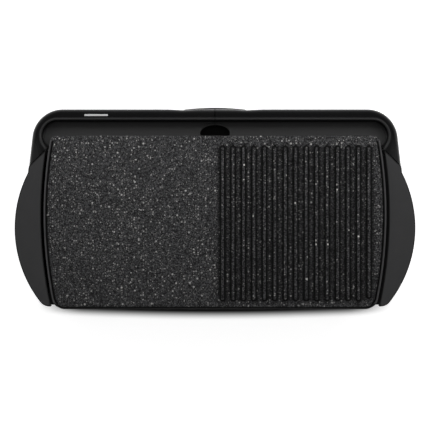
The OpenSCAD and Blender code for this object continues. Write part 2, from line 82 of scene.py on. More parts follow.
HALF_W = COVER_HI[0]
FRONT_Y = RIM_LO[1]
REAR_Y = PLATE_HI[1]
FRAME_Z = RIM_LO[2]
RIM_Z = RIM_HI[2]
ARM_TOP_Z = COVER_LO[2]
LIP_X = PLATE_HI[0] + 0.5
PLATE_FRONT_Y = PLATE_LO[1]
RIB_TOP_Z = PLATE_HI[2]

# ---- sizes of the moulded and cast shapes, in millimetres ----

RIB_H = 3.0
COOK_Z = RIB_TOP_Z - RIB_H
WEB_Z = COOK_Z - 5.0
SKIRT_Z = WEB_Z - 11.0
SIDE_R = 600.0
BAR_W = 15.0
HANDLE_W = 37.0
SIDE_MID_Y = (FRONT_Y + BAR_W + REAR_Y) / 2
PLATE_FRONT_R = 10.0
PLATE_REAR_R = 18.0
LIP_H = 3.0
GUTTER_R = 21.5
GUTTER_Y = FRONT_Y + BAR_W + 1 + GUTTER_R
GUTTER_END_X = HALF_W - HANDLE_W - 1 - GUTTER_R
GUTTER_FLOOR_Z = RIM_Z - 14
SLOT_X = HALF_W - HANDLE_W
CORNER_X = HALF_W - 67
CORNER_R = 43.0
FLARE = 6.3
WALL = 2.5
BACK_Y = GUTTER_Y + GUTTER_R + WALL
SEAM = 1.0
HANDLE_SEAM = 1.1
HANDLE_Y0 = FRONT_Y + 89
HANDLE_MID_Y = REAR_Y - 114
HANDLE_R = 167.0
TIP_R = 16.0
TIP_Y = REAR_Y - 4
RIB_FIRST_X = 10.6
RIB_PITCH = 14.6
RIB_COUNT = 15
RIB_HALF_W = 2.3
RIB_Y0 = PLATE_FRONT_Y + 16
RIB_Y1 = REAR_Y - 13
TRAY_HALF_W = TRAY_HI[0]
SHELF_Z = FRAME_Z + 18
LEG_X = (LEG_LO[0] + LEG_HI[0]) / 2
LEG_YS = ((LEG_LO[1] + LEG_HI[1]) / 2, (REAR_LEG_LO[1] + REAR_LEG_HI[1]) / 2)
PAD_R = 8.0
PAD_X = REST_HI[0] - PAD_R
PAD_YS = (REST_LO[1] + PAD_R, REST_HI[1] - PAD_R)
EAR_REACH = 13.0
BOSS_IN = 14.0
BOSS_ANGLES = (-16, 6, 28)
CARRIER_X = TRAY_HALF_W + 16
CARRIER_YS = (FRONT_Y + 12, BACK_Y - 8)


# ---- outlines ----

def arc(cx, cy, r, a0, a1, n):
    """Points (cx + r cos a, cy + r sin a), with a going evenly from a0 to a1 degrees."""
    a = np.radians(np.linspace(a0, a1, n + 1))
    return np.stack([cx + r * np.cos(a), cy + r * np.sin(a)], -1)


def bowed(half, y):
    """Half width at depth y of a side that bows out as a circle of radius SIDE_R, half at its widest."""
    return half - SIDE_R + np.sqrt(SIDE_R ** 2 - (np.asarray(y, float) - SIDE_MID_Y) ** 2)


def smooth(t):
    """0 below 0, 1 above 1, and 3t^2 - 2t^3 between them."""
    t = np.clip(t, 0, 1)
    return t * t * (3 - 2 * t)


def resample(points, n):
    """n + 1 points evenly spaced along a polyline."""
    run = np.r_[0, np.cumsum(np.linalg.norm(np.diff(points, axis=0), axis=1))]
    at = np.linspace(0, run[-1], n + 1)
    return np.stack([np.interp(at, run, column) for column in points.T], -1)


def unit(v):
    """Rows of v scaled to length 1."""
    return v / np.maximum(np.linalg.norm(v, axis=-1, keepdims=True), 1e-9)


def inset(loop, d):
    """A closed anticlockwise loop drawn in by d.

    Each point moves along its two edges' bisector by d / cos(half turn)."""
    ahead = unit(np.roll(loop, -1, 0) - loop)
    behind = unit(loop - np.roll(loop, 1, 0))
    across = unit(ahead + behind)
    normal = np.stack([-across[:, 1], across[:, 0]], -1)
    edge = np.stack([-ahead[:, 1], ahead[:, 0]], -1)
    return loop + normal * d / np.maximum((normal * edge).sum(1, keepdims=True), 0.45)


def chain_normals(chain):
    """Unit normals on the right-hand side of an open chain, from the slope at each point."""
    along = unit(np.gradient(chain, axis=0))
    return np.stack([along[:, 1], -along[:, 0]], -1)


def round_corners(points, r, n=5):
    """A polygon whose corners are arcs that touch both edges.

    Their radius r is one size, or one for each corner."""
    points = np.asarray(points, float)
    radii = np.broadcast_to(r, len(points))
    arcs = []
    for i, p in enumerate(points):
        a, b = points[i - 1] - p, points[(i + 1) % len(points)] - p
        la, lb = np.linalg.norm(a), np.linalg.norm(b)
        a, b = a / la, b / lb
        half = math.acos(np.clip(a @ b, -1, 1)) / 2
        cut = min(max(radii[i], 1e-3) / math.tan(half), 0.49 * la, 0.49 * lb)
        middle = p + (a + b) / np.linalg.norm(a + b) * cut / math.cos(half)
        turn = math.pi - 2 * half
        t = np.linspace(0, 1, n + 1)[:, None]
        start, end = p + a * cut - middle, p + b * cut - middle
        arcs.append(middle + (np.sin((1 - t) * turn) * start + np.sin(t * turn) * end) / math.sin(turn))
    return np.concatenate(arcs)


def rectangle(x0, y0, x1, y1, r=1.0, n=5):
    """An anticlockwise rectangle with round corners."""
    return round_corners([[x0, y0], [x1, y0], [x1, y1], [x0, y1]], r, n)


def distance_to(points, loop):
    """Shortest distance from each point to a closed loop's edges, by projecting onto every edge."""
    a, b = loop, np.roll(loop, -1, 0)
    edge = b - a
    reach = points[:, None, :] - a[None]
    t = np.clip((reach * edge).sum(-1) / np.maximum((edge ** 2).sum(-1), 1e-12), 0, 1)
    return np.linalg.norm(reach - t[..., None] * edge, axis=-1).min(1)


def upright_ring(n):
    """n points (cos a, 0, sin a) of a circle that stands across the depth."""
    a = np.linspace(0, 2 * math.pi, n, endpoint=False)
    return np.stack([np.cos(a), 0 * a, np.sin(a)], -1)


def lift(points, z):
    """Points of an outline at the height z."""
    z = np.broadcast_to(np.asarray(z, float), points.shape[:-1])
    return np.concatenate([points, z[..., None]], -1)


# ---- meshes ----

class Shape:
    """Collects the grids and flat caps of one piece, in millimetres."""

    def __init__(self):
        self.points, self.faces, self.count = [], [], 0

    def _add(self, points):
        self.points.append(np.asarray(points, float).reshape(-1, 3))
        self.count += len(self.points[-1])

    def grid(self, points, wrap=False):
        """Quads between the rows and columns of points; wrap joins the last column to the first."""
        rows, columns = points.shape[:2]
        r = np.arange(rows - 1)[:, None]
        c = np.arange(columns if wrap else columns - 1)[None, :]
        a = self.count + r * columns + c
        b = self.count + r * columns + (c + 1) % columns
        self.faces += np.stack([a, b, b + columns, a + columns], -1).reshape(-1, 4).tolist()
        self._add(points)
        return self

    def cap(self, ring):
        """One flat face inside a ring of points."""
        self.faces.append(list(range(self.count, self.count + len(ring))))
        self._add(ring)
        return self

    def loft(self, rings, caps=True):
        """Closed rings joined one to the next, with a flat face in the first and the last."""
        self.grid(rings, wrap=True)
        if caps:
            self.cap(rings[0]).cap(rings[-1])
        return self

    def slab(self, loop, z0, z1, r=0.6, axes=(0, 1, 2)):
        """A loop raised from z0 to z1 with round edges of radius r.

        Its rings are drawn in by r(1 - sin t) and r(1 - cos t)."""
        t = np.linspace(0, math.pi / 2, 5)
        low = np.stack([r * (1 - np.sin(t)), z0 + r * (1 - np.cos(t))], -1)
        high = np.stack([r * (1 - np.cos(t)), z1 - r * (1 - np.sin(t))], -1)
        flat = r + 0.25
        profile = np.concatenate([[[flat, z0]], low, high, [[flat, z1]]])
        rings = np.stack([lift(inset(loop, d), z) for d, z in profile])
        return self.loft(rings[..., list(axes)])

    def lathe(self, x, y, profile, n=40):
        """A profile of (radius, height) turned about the upright through (x, y)."""
        profile = np.asarray(profile, float)
        a = np.linspace(0, 2 * math.pi, n, endpoint=False)
        ring = np.stack([np.cos(a), np.sin(a)], -1)
        flat = np.array([x, y]) + profile[:, None, :1] * ring
        return self.loft(lift(flat, profile[:, 1:2]))

    def sweep(self, chain, section, closed=False):
        """A closed section of (offset to the right, height) carried along a chain."""
        section = np.asarray(section, float)
        normals = chain_normals(chain)
        if closed:
            ahead = np.roll(chain, -1, 0) - np.roll(chain, 1, 0)
            normals = unit(np.stack([ahead[:, 1], -ahead[:, 0]], -1))
        flat = chain[None] + section[:, None, :1] * normals[None]
        rings = lift(flat, section[:, 1:2])
        self.grid(np.concatenate([rings, rings[:1]]), wrap=closed)
        if not closed:
            self.cap(rings[:, 0]).cap(rings[:, -1])
        return self

    def tube(self, path, r, n=16):
        """A circle of radius r carried along a level path, at right angles to it."""
        along = unit(np.gradient(path, axis=0))
        side = unit(np.cross(along, [0, 0, 1.0]))
        over = np.cross(side, along)
        a = np.linspace(0, 2 * math.pi, n, endpoint=False)[None, :, None]
        radius = np.broadcast_to(r, len(path))[:, None, None]
        rings = path[:, None] + radius * (np.cos(a) * side[:, None] + np.sin(a) * over[:, None])
        return self.loft(rings)

    def mirrored(self):
        """The same shape on the other side of the middle."""
        other = Shape()
        other.points = [p * [-1, 1, 1] for p in self.points]
        other.faces = [list(reversed(f)) for f in self.faces]
        other.count = self.count
        return other

    def both(self):
        """The shape and its mirror image, as one piece."""
        other = self.mirrored()
        self.faces += [[i + self.count for i in f] for f in other.faces]
        self.points += other.points
        self.count *= 2
        return self

    def pair(self, part):
        """Adds a part and its mirror image to this shape."""
        part.both()
        self.faces += [[i + self.count for i in f] for f in part.faces]
        self.points += part.points
        self.count += part.count


def piece(name, shape, material, body, nodes, slot, sharp=38, marks=None):
    """A shape becomes an object: merged, faces pointing out, riding on its body in place of CAD nodes.

    marks maps an attribute's name to a function that gives its value at each point, in millimetres."""
    mesh = bpy.data.meshes.new(name)
    mesh.from_pydata(np.concatenate(shape.points) * MM, [], shape.faces)
    work = bmesh.new()
    work.from_mesh(mesh)
    bmesh.ops.remove_doubles(work, verts=work.verts, dist=4e-6)
    bmesh.ops.dissolve_degenerate(work, dist=1e-6, edges=work.edges)
    bmesh.ops.recalc_face_normals(work, faces=work.faces)
    work.to_mesh(mesh)
    work.free()
    mesh.polygons.foreach_set("use_smooth", np.ones(len(mesh.polygons), bool))
    mesh.set_sharp_from_angle(angle=math.radians(sharp))
    co = np.empty(len(mesh.vertices) * 3)
    mesh.vertices.foreach_get("co", co)
    for mark, rule in (marks or {}).items():
        layer = mesh.attributes.new(mark, "FLOAT", "POINT")
        layer.data.foreach_set("value", rule(co.reshape(-1, 3) / MM).astype(np.float32))
    mesh.materials.append(material)
    made = bpy.data.objects.new(name, mesh)
    bpy.context.scene.collection.objects.link(made)
    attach(made, body)
    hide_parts(*nodes)
    return made


# ---- shader building blocks ----

def node_group(name, inputs, outputs):
    """A new shader group with named sockets: inputs and outputs are (name, type, default)."""
    if name in bpy.data.node_groups:
        return bpy.data.node_groups[name], None
    group = bpy.data.node_groups.new(name, "ShaderNodeTree")
    for label, kind, default in inputs:
        socket = group.interface.new_socket(label, in_out="INPUT", socket_type=kind)
        if default is not None:
            socket.default_value = default
    for label, kind in outputs:
        group.interface.new_socket(label, in_out="OUTPUT", socket_type=kind)
    return group, Nodes(group)


class Nodes:
    """Short calls for adding and joining the nodes of one tree."""

    def __init__(self, tree):
        self.tree = tree
        self.column = 0

    def add(self, kind, values=None, **settings):
        """A node of a kind, with settings on the node and values or links on its inputs."""
        node = self.tree.nodes.new(kind)
        node.location = (self.column * 180, 0)
        self.column += 1
        for key, value in settings.items():
            setattr(node, key, value)
        for key, value in (values or {}).items():
            self.feed(node.inputs[key], value)
        return node

    def feed(self, socket, value):
        if isinstance(value, bpy.types.NodeSocket):
            self.tree.links.new(value, socket)
        else:
            socket.default_value = value

    def math(self, operation, a, b=0.0, clamp=False):
        return self.add("ShaderNodeMath", {0: a, 1: b}, operation=operation, use_clamp=clamp).outputs[0]

    def ramp(self, value, low, high, out_low=0.0, out_high=1.0, kind="SMOOTHSTEP"):
        """value from low..high to out_low..out_high."""
        return self.add("ShaderNodeMapRange", {
            "Value": value, "From Min": low, "From Max": high, "To Min": out_low, "To Max": out_high,
        }, interpolation_type=kind).outputs["Result"]

    def mix(self, share, a, b):
        """Colour a where share is 0, colour b where it is 1."""
        return self.add("ShaderNodeMix", {0: share, 6: a, 7: b}, data_type="RGBA").outputs[2]

    def group(self, tree, values):
        """The outputs of a shader group placed with its own values."""
        return self.add("ShaderNodeGroup", values, node_tree=tree).outputs

    def attribute(self, name):
        """The value of a named attribute of the mesh."""
        return self.add("ShaderNodeAttribute", attribute_name=name).outputs["Fac"]

    def noise(self, vector, scale, detail=2.0, rough=0.5):
        return self.add("ShaderNodeTexNoise", {
            "Vector": vector, "Scale": scale, "Detail": detail, "Roughness": rough,
        }).outputs["Fac"]


def grain_group():
    """Fine moulded grain: two sizes of noise added up, for a value and a height."""
    group, n = node_group("Grain", [
        ("Vector", "NodeSocketVector", None), ("Fine", "NodeSocketFloat", 2600.0),
        ("Coarse", "NodeSocketFloat", 60.0), ("Mottle", "NodeSocketFloat", 0.5),
    ], [("Value", "NodeSocketFloat"), ("Height", "NodeSocketFloat")])
    if n:
        g = n.add("NodeGroupInput").outputs
        fine = n.noise(g["Vector"], g["Fine"], 3.0, 0.6)
        coarse = n.noise(g["Vector"], g["Coarse"], 3.0, 0.55)
        share = n.math("MULTIPLY", n.math("SUBTRACT", coarse, 0.5), g["Mottle"])
        out = n.add("NodeGroupOutput")
        n.feed(out.inputs["Value"], n.math("ADD", n.math("SUBTRACT", fine, 0.5), share))
        n.feed(out.inputs["Height"], fine)
    return group


def fleck_group():
    """Flecks: cells whose random number passes the density hold one round dot of random size and tone."""
    group, n = node_group("Flecks", [
        ("Vector", "NodeSocketVector", None), ("Scale", "NodeSocketFloat", 300.0),
        ("Density", "NodeSocketFloat", 0.2), ("Size", "NodeSocketFloat", 0.3),
    ], [("Mask", "NodeSocketFloat"), ("Tone", "NodeSocketFloat")])
    if n:
        g = n.add("NodeGroupInput").outputs
        warp = n.add("ShaderNodeTexNoise", {"Vector": g["Vector"], "Scale": 900.0, "Detail": 1.0})
        bend = n.add("ShaderNodeVectorMath", {0: warp.outputs["Color"], 1: (0.0009, 0.0009, 0.0009)},
                     operation="MULTIPLY").outputs[0]
        place = n.add("ShaderNodeVectorMath", {0: g["Vector"], 1: bend}, operation="ADD").outputs[0]
        cells = n.add("ShaderNodeTexVoronoi", {"Vector": place, "Scale": g["Scale"], "Randomness": 0.95})
        colour = n.add("ShaderNodeSeparateColor", {0: cells.outputs["Color"]})
        chosen = n.math("LESS_THAN", colour.outputs[0], g["Density"])
        radius = n.math("MULTIPLY", g["Size"], n.ramp(colour.outputs[1], 0.0, 1.0, 0.45, 1.0, "LINEAR"))
        inside = n.math("SUBTRACT", radius, cells.outputs["Distance"])
        soft = n.ramp(inside, -0.04, 0.06)
        out = n.add("NodeGroupOutput")
        n.feed(out.inputs["Mask"], n.math("MULTIPLY", soft, chosen))
        n.feed(out.inputs["Tone"], colour.outputs[2])
    return group


def edge_group():
    """Edges: how far the softened normal leans from the true one, as a mask for painted edge highlights and
    painted edge shade, and for a soft rounded look.
    """
    group, n = node_group("Soft_edges", [("Radius", "NodeSocketFloat", 0.0006)],
                          [("Edge_light_shade", "NodeSocketFloat"), ("Normal", "NodeSocketVector")])
    if n:
        g = n.add("NodeGroupInput").outputs
        bevel = n.add("ShaderNodeBevel", {"Radius": g["Radius"]}, samples=4)
        true = n.add("ShaderNodeNewGeometry").outputs["Normal"]
        lean = n.add("ShaderNodeVectorMath", {0: bevel.outputs[0], 1: true},
                     operation="DOT_PRODUCT").outputs["Value"]
        out = n.add("NodeGroupOutput")
        n.feed(out.inputs["Edge_light_shade"], n.ramp(lean, 0.98, 0.80))
        n.feed(out.inputs["Normal"], bevel.outputs[0])
    return group


def dust_group():
    """Handling marks: patches of slightly rougher surface, with a few fine long scratches."""
    group, n = node_group("Handling", [
        ("Vector", "NodeSocketVector", None), ("Scale", "NodeSocketFloat", 9.0),
    ], [("Patch", "NodeSocketFloat"), ("Scratch", "NodeSocketFloat")])
    if n:
        g = n.add("NodeGroupInput").outputs
        patch = n.noise(g["Vector"], g["Scale"], 4.0, 0.6)
        streak = n.add("ShaderNodeMapping",
                       {"Vector": g["Vector"], "Rotation": (0, 0, 0.5), "Scale": (14, 600, 60)})
        lines = n.noise(streak.outputs[0], 1.0, 2.0, 0.5)
        out = n.add("NodeGroupOutput")
        n.feed(out.inputs["Patch"], n.ramp(patch, 0.35, 0.7))
        n.feed(out.inputs["Scratch"], n.ramp(lines, 0.66, 0.72))
    return group


def new_material(name, constants):
    """A material with one Principled shader, whose constant sockets are set directly."""
    material = bpy.data.materials.new(name)
    material.use_nodes = True
    material.node_tree.nodes.clear()
    n = Nodes(material.node_tree)
    where = n.add("ShaderNodeTexCoord").outputs["Object"]
    shader = n.add("ShaderNodeBsdfPrincipled", constants)
    out = n.add("ShaderNodeOutputMaterial", {"Surface": shader.outputs[0]})
    out.location = (2400, 0)
    return material, n, where, shader.inputs


def toned(colour, share, rise=0.0):
    """A colour scaled by a share and raised a little, at most 1, with full cover."""
    return [min(1, c * share + rise) for c in colour] + [1]


def plastic(name, colour, rough, specular=0.5, grain=0.25, fine=2600.0, coarse=60.0, mottle=0.5,
            vary=0.25, gloss_vary=0.12, edge=0.5, patch=None):
    """Moulded plastic: grained colour, edges painted a little lighter as a painted highlight (darker, as
    painted shade, where edge is below 0), and handling marks in its gloss.

    patch is an attribute's name with the colour and the roughness where that attribute is 1."""
    material, n, where, into = new_material(name, {"IOR": 1.48, "Specular IOR Level": specular})
    grains = n.group(grain_group(), {"Vector": where, "Fine": fine, "Coarse": coarse, "Mottle": mottle})
    marks = n.group(dust_group(), {"Vector": where})
    edges = n.group(edge_group(), {"Radius": 0.0007})
    tone = n.mix(n.ramp(grains["Value"], -0.4, 0.4), toned(colour, 1 - vary), toned(colour, 1 + vary))
    # Painted edge light: edges are painted lighter as a highlight, and darker as shade where edge is below 0.
    tone = n.mix(n.math("MULTIPLY", edges["Edge_light_shade"], 0.6), tone, toned(colour, 1 + edge, 0.004 * edge))
    gloss = n.ramp(marks["Patch"], 0, 1, rough - gloss_vary * rough, rough + gloss_vary * rough, "LINEAR")
    gloss = n.math("ADD", gloss, n.math("MULTIPLY", marks["Scratch"], 0.05))
    if patch:
        share = n.attribute(patch[0])
        tone = n.mix(share, tone, [*patch[1], 1])
        gloss = n.ramp(share, 0, 1, gloss, patch[2], "LINEAR")
    n.feed(into["Base Color"], tone)
    n.feed(into["Roughness"], gloss)
    bump = n.add("ShaderNodeBump", {"Height": grains["Height"], "Strength": grain, "Distance": 0.0002})
    n.feed(into["Normal"], bump.outputs[0])
    return material


def metal(name, colour, rough, streak=(8, 900, 900), vary=0.2, tint=None, tint_share=0.0, bump=0.12):
    """Rolled or drawn metal: streaks along one way, blotches of duller oxide, and soft edges painted a little
    lighter as a painted highlight.
    """
    material, n, where, into = new_material(name, {"Metallic": 1.0})
    turned = n.add("ShaderNodeMapping", {"Vector": where, "Scale": streak}).outputs[0]
    lines = n.noise(turned, 1.0, 4.0, 0.6)
    blot = n.noise(where, 45.0, 5.0, 0.65)
    edges = n.group(edge_group(), {"Radius": 0.0004})
    light = toned(colour, 1 + vary)
    tone = n.mix(n.ramp(lines, 0.3, 0.7), toned(colour, 1 - vary), light)
    tone = n.mix(n.math("MULTIPLY", n.ramp(blot, 0.42, 0.68), tint_share), tone, list(tint or colour) + [1])
    # Painted highlight: the edges take the lighter tone.
    n.feed(into["Base Color"], n.mix(n.math("MULTIPLY", edges["Edge_light_shade"], 0.5), tone, light))
    n.feed(into["Roughness"], n.ramp(blot, 0.3, 0.7, rough * 0.8, rough * 1.25, "LINEAR"))
    rise = n.add("ShaderNodeBump", {"Height": lines, "Strength": bump, "Distance": 0.0002,
                                    "Normal": edges["Normal"]})
    n.feed(into["Normal"], rise.outputs[0])
    return material


DEEP_SHADE = [0.001, 0.001, 0.0011, 1]
FLECKS = (
    # cells per metre, share of cells, radius, brightness, strength
    (430.0, 0.42, 0.42, 0.36, 0.75),
    (300.0, 0.26, 0.34, 0.72, 0.95),
    (170.0, 0.30, 0.26, 1.0, 1.0),
)


def stone_coating(colours):
    """Stone-look non-stick coating: dark grey, mottled grain with fine and large pale flecks.

    One attribute paints shade into the grooves, the foot of each rib, the floor between the ribs and the
    rolled edges, and bare fades the flecks on the lips."""
    material, n, where, into = new_material("stone_coating", {"IOR": 1.45, "Specular IOR Level": 0.35})
    crease_shade = n.attribute("crease_shade")
    bare = n.attribute("bare")
    grains = n.group(grain_group(), {"Vector": where, "Fine": 720.0, "Coarse": 330.0, "Mottle": 0.6})
    base = n.mix(n.ramp(grains["Value"], -0.14, 0.23), list(colours.coating_dark),
                 list(colours.coating_light))
    for scale, density, size, pale, strength in FLECKS:
        dots = n.group(fleck_group(), {"Vector": where, "Scale": scale, "Density": density, "Size": size})
        shown = n.math("MULTIPLY", n.math("MULTIPLY", dots["Mask"], strength), n.math("SUBTRACT", 1.0, bare))
        tone = n.mix(dots["Tone"], [pale * 0.34, pale * 0.34, pale * 0.34, 1],
                     [pale, pale * 0.98, pale * 0.94, 1])
        base = n.mix(shown, base, tone)
    base = n.mix(n.math("MULTIPLY", bare, 0.85), base, list(colours.lip))
    # Painted shade: the coating is painted darker towards the rear, where the light falls off.
    depth = n.add("ShaderNodeSeparateXYZ", {0: where}).outputs["Y"]
    base = n.mix(n.ramp(depth, -0.12, 0.15, 0.0, 0.24, "LINEAR"), base, DEEP_SHADE)
    # Painted shade in the grooves, at the ribs' feet, between the ribs and on the rolled edges.
    base = n.mix(n.math("MULTIPLY", crease_shade, 0.97), base, DEEP_SHADE)
    n.feed(into["Base Color"], base)
    rough = n.ramp(grains["Value"], -0.3, 0.3, 0.50, 0.66, "LINEAR")
    n.feed(into["Roughness"], n.math("ADD", rough, n.math("MULTIPLY", crease_shade, 0.25)))
    height = n.math("ADD", grains["Height"], n.math("MULTIPLY", n.noise(where, 1400.0, 2.0), 0.4))
    bump = n.add("ShaderNodeBump", {"Height": height, "Strength": 0.35, "Distance": 0.0004})
    n.feed(into["Normal"], bump.outputs[0])
    return material


FINISHES = {}


def finished(name, shape, body, node, slot, **more):
    """A piece in place of one node, whose material has the name of its slot."""
    return piece(name, shape, finish(slot), body, [node], slot, **more)


def finish(name):
    """The material of that name, made on first use."""
    if name not in FINISHES:
        c = bpy.context.scene.griddle_colours
        makers = {
            "stone_coating": lambda: stone_coating(c),
            # The rim takes the gutter's satin colour on the gutter's floor, a painted highlight on its inner
            # bead and a paler patch beside the slanting seam.
            "gloss_black": lambda: plastic("gloss_black", c.gloss[:3], 0.22, 0.5, 0.03, 1500, 40, vary=0.12,
                                           gloss_vary=0.25, edge=0.3, patch=("trough_and_sheen", c.trough_and_sheen[:3], 0.5)),
            # Handle covers: painted shade on their edges, and the arms' dark colour painted along the rounded
            # brim as shade.
            "matte_black": lambda: plastic("matte_black", c.grip[:3], 0.62, 0.4, 0.35, 2600, 55, vary=0.10,
                                           edge=-0.5, patch=("brim_shade", c.satin[:3], 0.7)),
            "satin_black": lambda: plastic("satin_black", c.satin[:3], 0.38, 0.45, 0.2, 2200, 60, vary=0.18),
            "tray_black": lambda: plastic("tray_black", c.satin[:3], 0.3, 0.5, 0.1, 1800, 45, vary=0.15),
            "element_steel": lambda: metal("element_steel", (0.30, 0.29, 0.28), 0.42, (400, 400, 400), 0.25,
                                           (0.16, 0.11, 0.09), 0.55),
            "zinc_steel": lambda: metal("zinc_steel", (0.62, 0.63, 0.65), 0.32, (300, 300, 300), 0.12,
                                        (0.45, 0.46, 0.5), 0.4),
            "pin_steel": lambda: metal("pin_steel", (0.70, 0.71, 0.73), 0.22, (900, 12, 900), 0.1),
            "guard_steel": lambda: metal("guard_steel", (0.52, 0.53, 0.54), 0.35, (10, 500, 500), 0.15,
                                         (0.40, 0.36, 0.33), 0.3),
            "reflector_sheet": lambda: metal("reflector_sheet", (0.56, 0.56, 0.57), 0.3, (6, 700, 700), 0.15,
                                             (0.42, 0.40, 0.37), 0.35),
            "insulator": lambda: plastic("insulator", (0.72, 0.70, 0.64), 0.45, 0.5, 0.15, 2400, 200,
                                         vary=0.08),
            "heatproof_pad": lambda: plastic("heatproof_pad", (0.09, 0.065, 0.045), 0.75, 0.3, 0.5, 1500, 300,
                                             vary=0.35),
            "foot_rubber": lambda: plastic("foot_rubber", (0.012, 0.012, 0.013), 0.8, 0.3, 0.5, 2200, 80,
                                           vary=0.3),
            "pale_print": lambda: plastic("pale_print", (0.72, 0.72, 0.72), 0.5, 0.4, 0.15, 3000, 150,
                                          vary=0.06),
        }
        FINISHES[name] = makers[name]()
    return FINISHES[name]


# ---- the cooking plate ----

BAND = 7.0


def plate_centre(r, y):
    """Middle, across the width, of a corner arc of radius r about depth y that touches the bowed side."""
    return LIP_X - SIDE_R + math.sqrt((SIDE_R - r) ** 2 - (y - SIDE_MID_Y) ** 2)


FRONT_CORNER = np.array([plate_centre(PLATE_FRONT_R, PLATE_FRONT_Y + PLATE_FRONT_R),
                         PLATE_FRONT_Y + PLATE_FRONT_R])
REAR_CORNER = np.array([plate_centre(PLATE_REAR_R, REAR_Y - PLATE_REAR_R), REAR_Y - PLATE_REAR_R])
FRONT_ANGLE = math.degrees(math.asin((FRONT_CORNER[1] - SIDE_MID_Y) / (SIDE_R - PLATE_FRONT_R)))
REAR_ANGLE = math.degrees(math.asin((REAR_CORNER[1] - SIDE_MID_Y) / (SIDE_R - PLATE_REAR_R)))
RIB_XS = RIB_FIRST_X + RIB_PITCH * np.arange(RIB_COUNT)


def rib_ends():
    """Depths of the middles of each rib's two round ends; the outermost rib stops a little short."""
    rear = np.full(RIB_COUNT, RIB_Y1 - RIB_HALF_W)
    rear[-1] -= 3.5
    return np.full(RIB_COUNT, RIB_Y0 + RIB_HALF_W), rear


def rib_distance(x, y):
    """Distance from a point to the nearest rib's middle line, which stops at the round ends."""
    front, rear = rib_ends()
    nearest = np.clip(np.round((-x - RIB_FIRST_X) / RIB_PITCH), 0, RIB_COUNT - 1).astype(int)
    along = np.maximum(np.maximum(front[nearest] - y, y - rear[nearest]), 0)
    return np.hypot(-x - RIB_XS[nearest], along)


def plate_depth(x, y):
    """How far a point lies inside the plate's outline.

    It is the least of the distances to the straight and bowed sides, and in a
    corner the radius less the distance from the corner's middle."""
    x = np.abs(x)
    side = SIDE_R - np.hypot(x - (LIP_X - SIDE_R), y - SIDE_MID_Y)
    depth = np.minimum(side, np.minimum(y - PLATE_FRONT_Y, REAR_Y - y))
    for (cx, cy), r, sign, limit in ((FRONT_CORNER, PLATE_FRONT_R, -1, FRONT_ANGLE),
                                     (REAR_CORNER, PLATE_REAR_R, 1, REAR_ANGLE)):
        angle = np.degrees(np.arctan2(sign * (y - cy), x - cx))
        inside = (x > cx) & (angle > sign * limit)
        depth = np.where(inside, r - np.hypot(x - cx, y - cy), depth)
    return depth


def facing(x, y):
    """Direction that the outline faces nearest a point, in degrees from the side towards the rear."""
    x = np.abs(x)
    angle = np.degrees(np.arcsin(np.clip((y - SIDE_MID_Y) / SIDE_R, -1, 1)))
    front = np.degrees(np.arctan2(y - FRONT_CORNER[1], np.maximum(x - FRONT_CORNER[0], 1e-6)))
    rear = np.degrees(np.arctan2(y - REAR_CORNER[1], np.maximum(x - REAR_CORNER[0], 1e-6)))
    angle = np.where((y < FRONT_CORNER[1]) & (front < FRONT_ANGLE), front, angle)
    angle = np.where((y > REAR_CORNER[1]) & (rear > REAR_ANGLE), rear, angle)
    near_front = y < SIDE_MID_Y
    away = x < np.where(near_front, FRONT_CORNER[0], REAR_CORNER[0])
    return np.where(away & near_front, -90, np.where(away, 90, angle))


def lip_share(angle):
    """1 where the plate's side lip stands, fading out round the front and part way round the rear corner."""
    return smooth((angle + 36) / 30) * (1 - smooth((angle - 40) / 22))


def lip_height(d):
    """The side lip across its width: a round bead 3 mm high, then a shallow groove inside it."""
    bead = LIP_H * np.clip(1 - (np.abs(d - 0.8) / 1.1) ** 3, 0, 1) ** 0.5
    slope = smooth((2.7 - d) / 1.3)
    groove = 0.8 * np.exp(-((d - 3.6) / 1.2) ** 2)
    return np.where(d < 0.8, np.maximum(bead, 1.6), np.maximum(bead, LIP_H * slope)) - groove


def roll_height(d, r):
    """An edge rolled over as a quarter circle of radius r."""
    return -(r - np.sqrt(np.maximum(r * r - np.maximum(r - d, 0) ** 2, 0)))


def top_height(x, y, d, angle):
    """Height of the plate's upper face: flat, with ribs, side lips, a soft rear and a small front roll."""
    q = rib_distance(x, y)
    rib = RIB_H * smooth((3.2 - q) / 1.8)
    share = lip_share(angle)
    rear = smooth((angle - 30) / 30)
    front = smooth((-angle - 50) / 30)
    rolled = rear * roll_height(d, 3.5) + front * roll_height(d, 2.2)
    fall = 0.9 * smooth((y - (REAR_Y - 22)) / 24)
    return COOK_Z + rib + share * lip_height(d) + (1 - share) * rolled - fall * (1 - share * (d < 3))


def plate_rows():
    """Depths of the plate's rows, close together at the corners and the ribs' ends, wide apart between."""
    r0, r1 = PLATE_FRONT_R - BAND, PLATE_REAR_R - BAND
    front = FRONT_CORNER[1] + r0 * np.sin(np.radians(np.linspace(-90, FRONT_ANGLE, 11)))
    rear = REAR_CORNER[1] + r1 * np.sin(np.radians(np.linspace(REAR_ANGLE, 90, 14)))
    ends = np.concatenate([[0, 0.5], np.arange(1.3, 3.4, 0.3), [3.9]])
    rib_front, rib_rear = rib_ends()
    rows = [front, rear, rib_front[0] - ends, rib_rear[0] + ends, rib_rear[-1] + ends,
            np.linspace(rib_front[0], rib_rear[-1], 24), [rib_front[0] - 6, rib_rear[-1] - 1]]
    rows = np.unique(np.round(np.concatenate(rows), 3))
    keep = np.r_[True, np.diff(rows) > 0.02]
    return rows[keep & (rows >= front[0] - 1e-3) & (rows <= rear[-1] + 1e-3)]


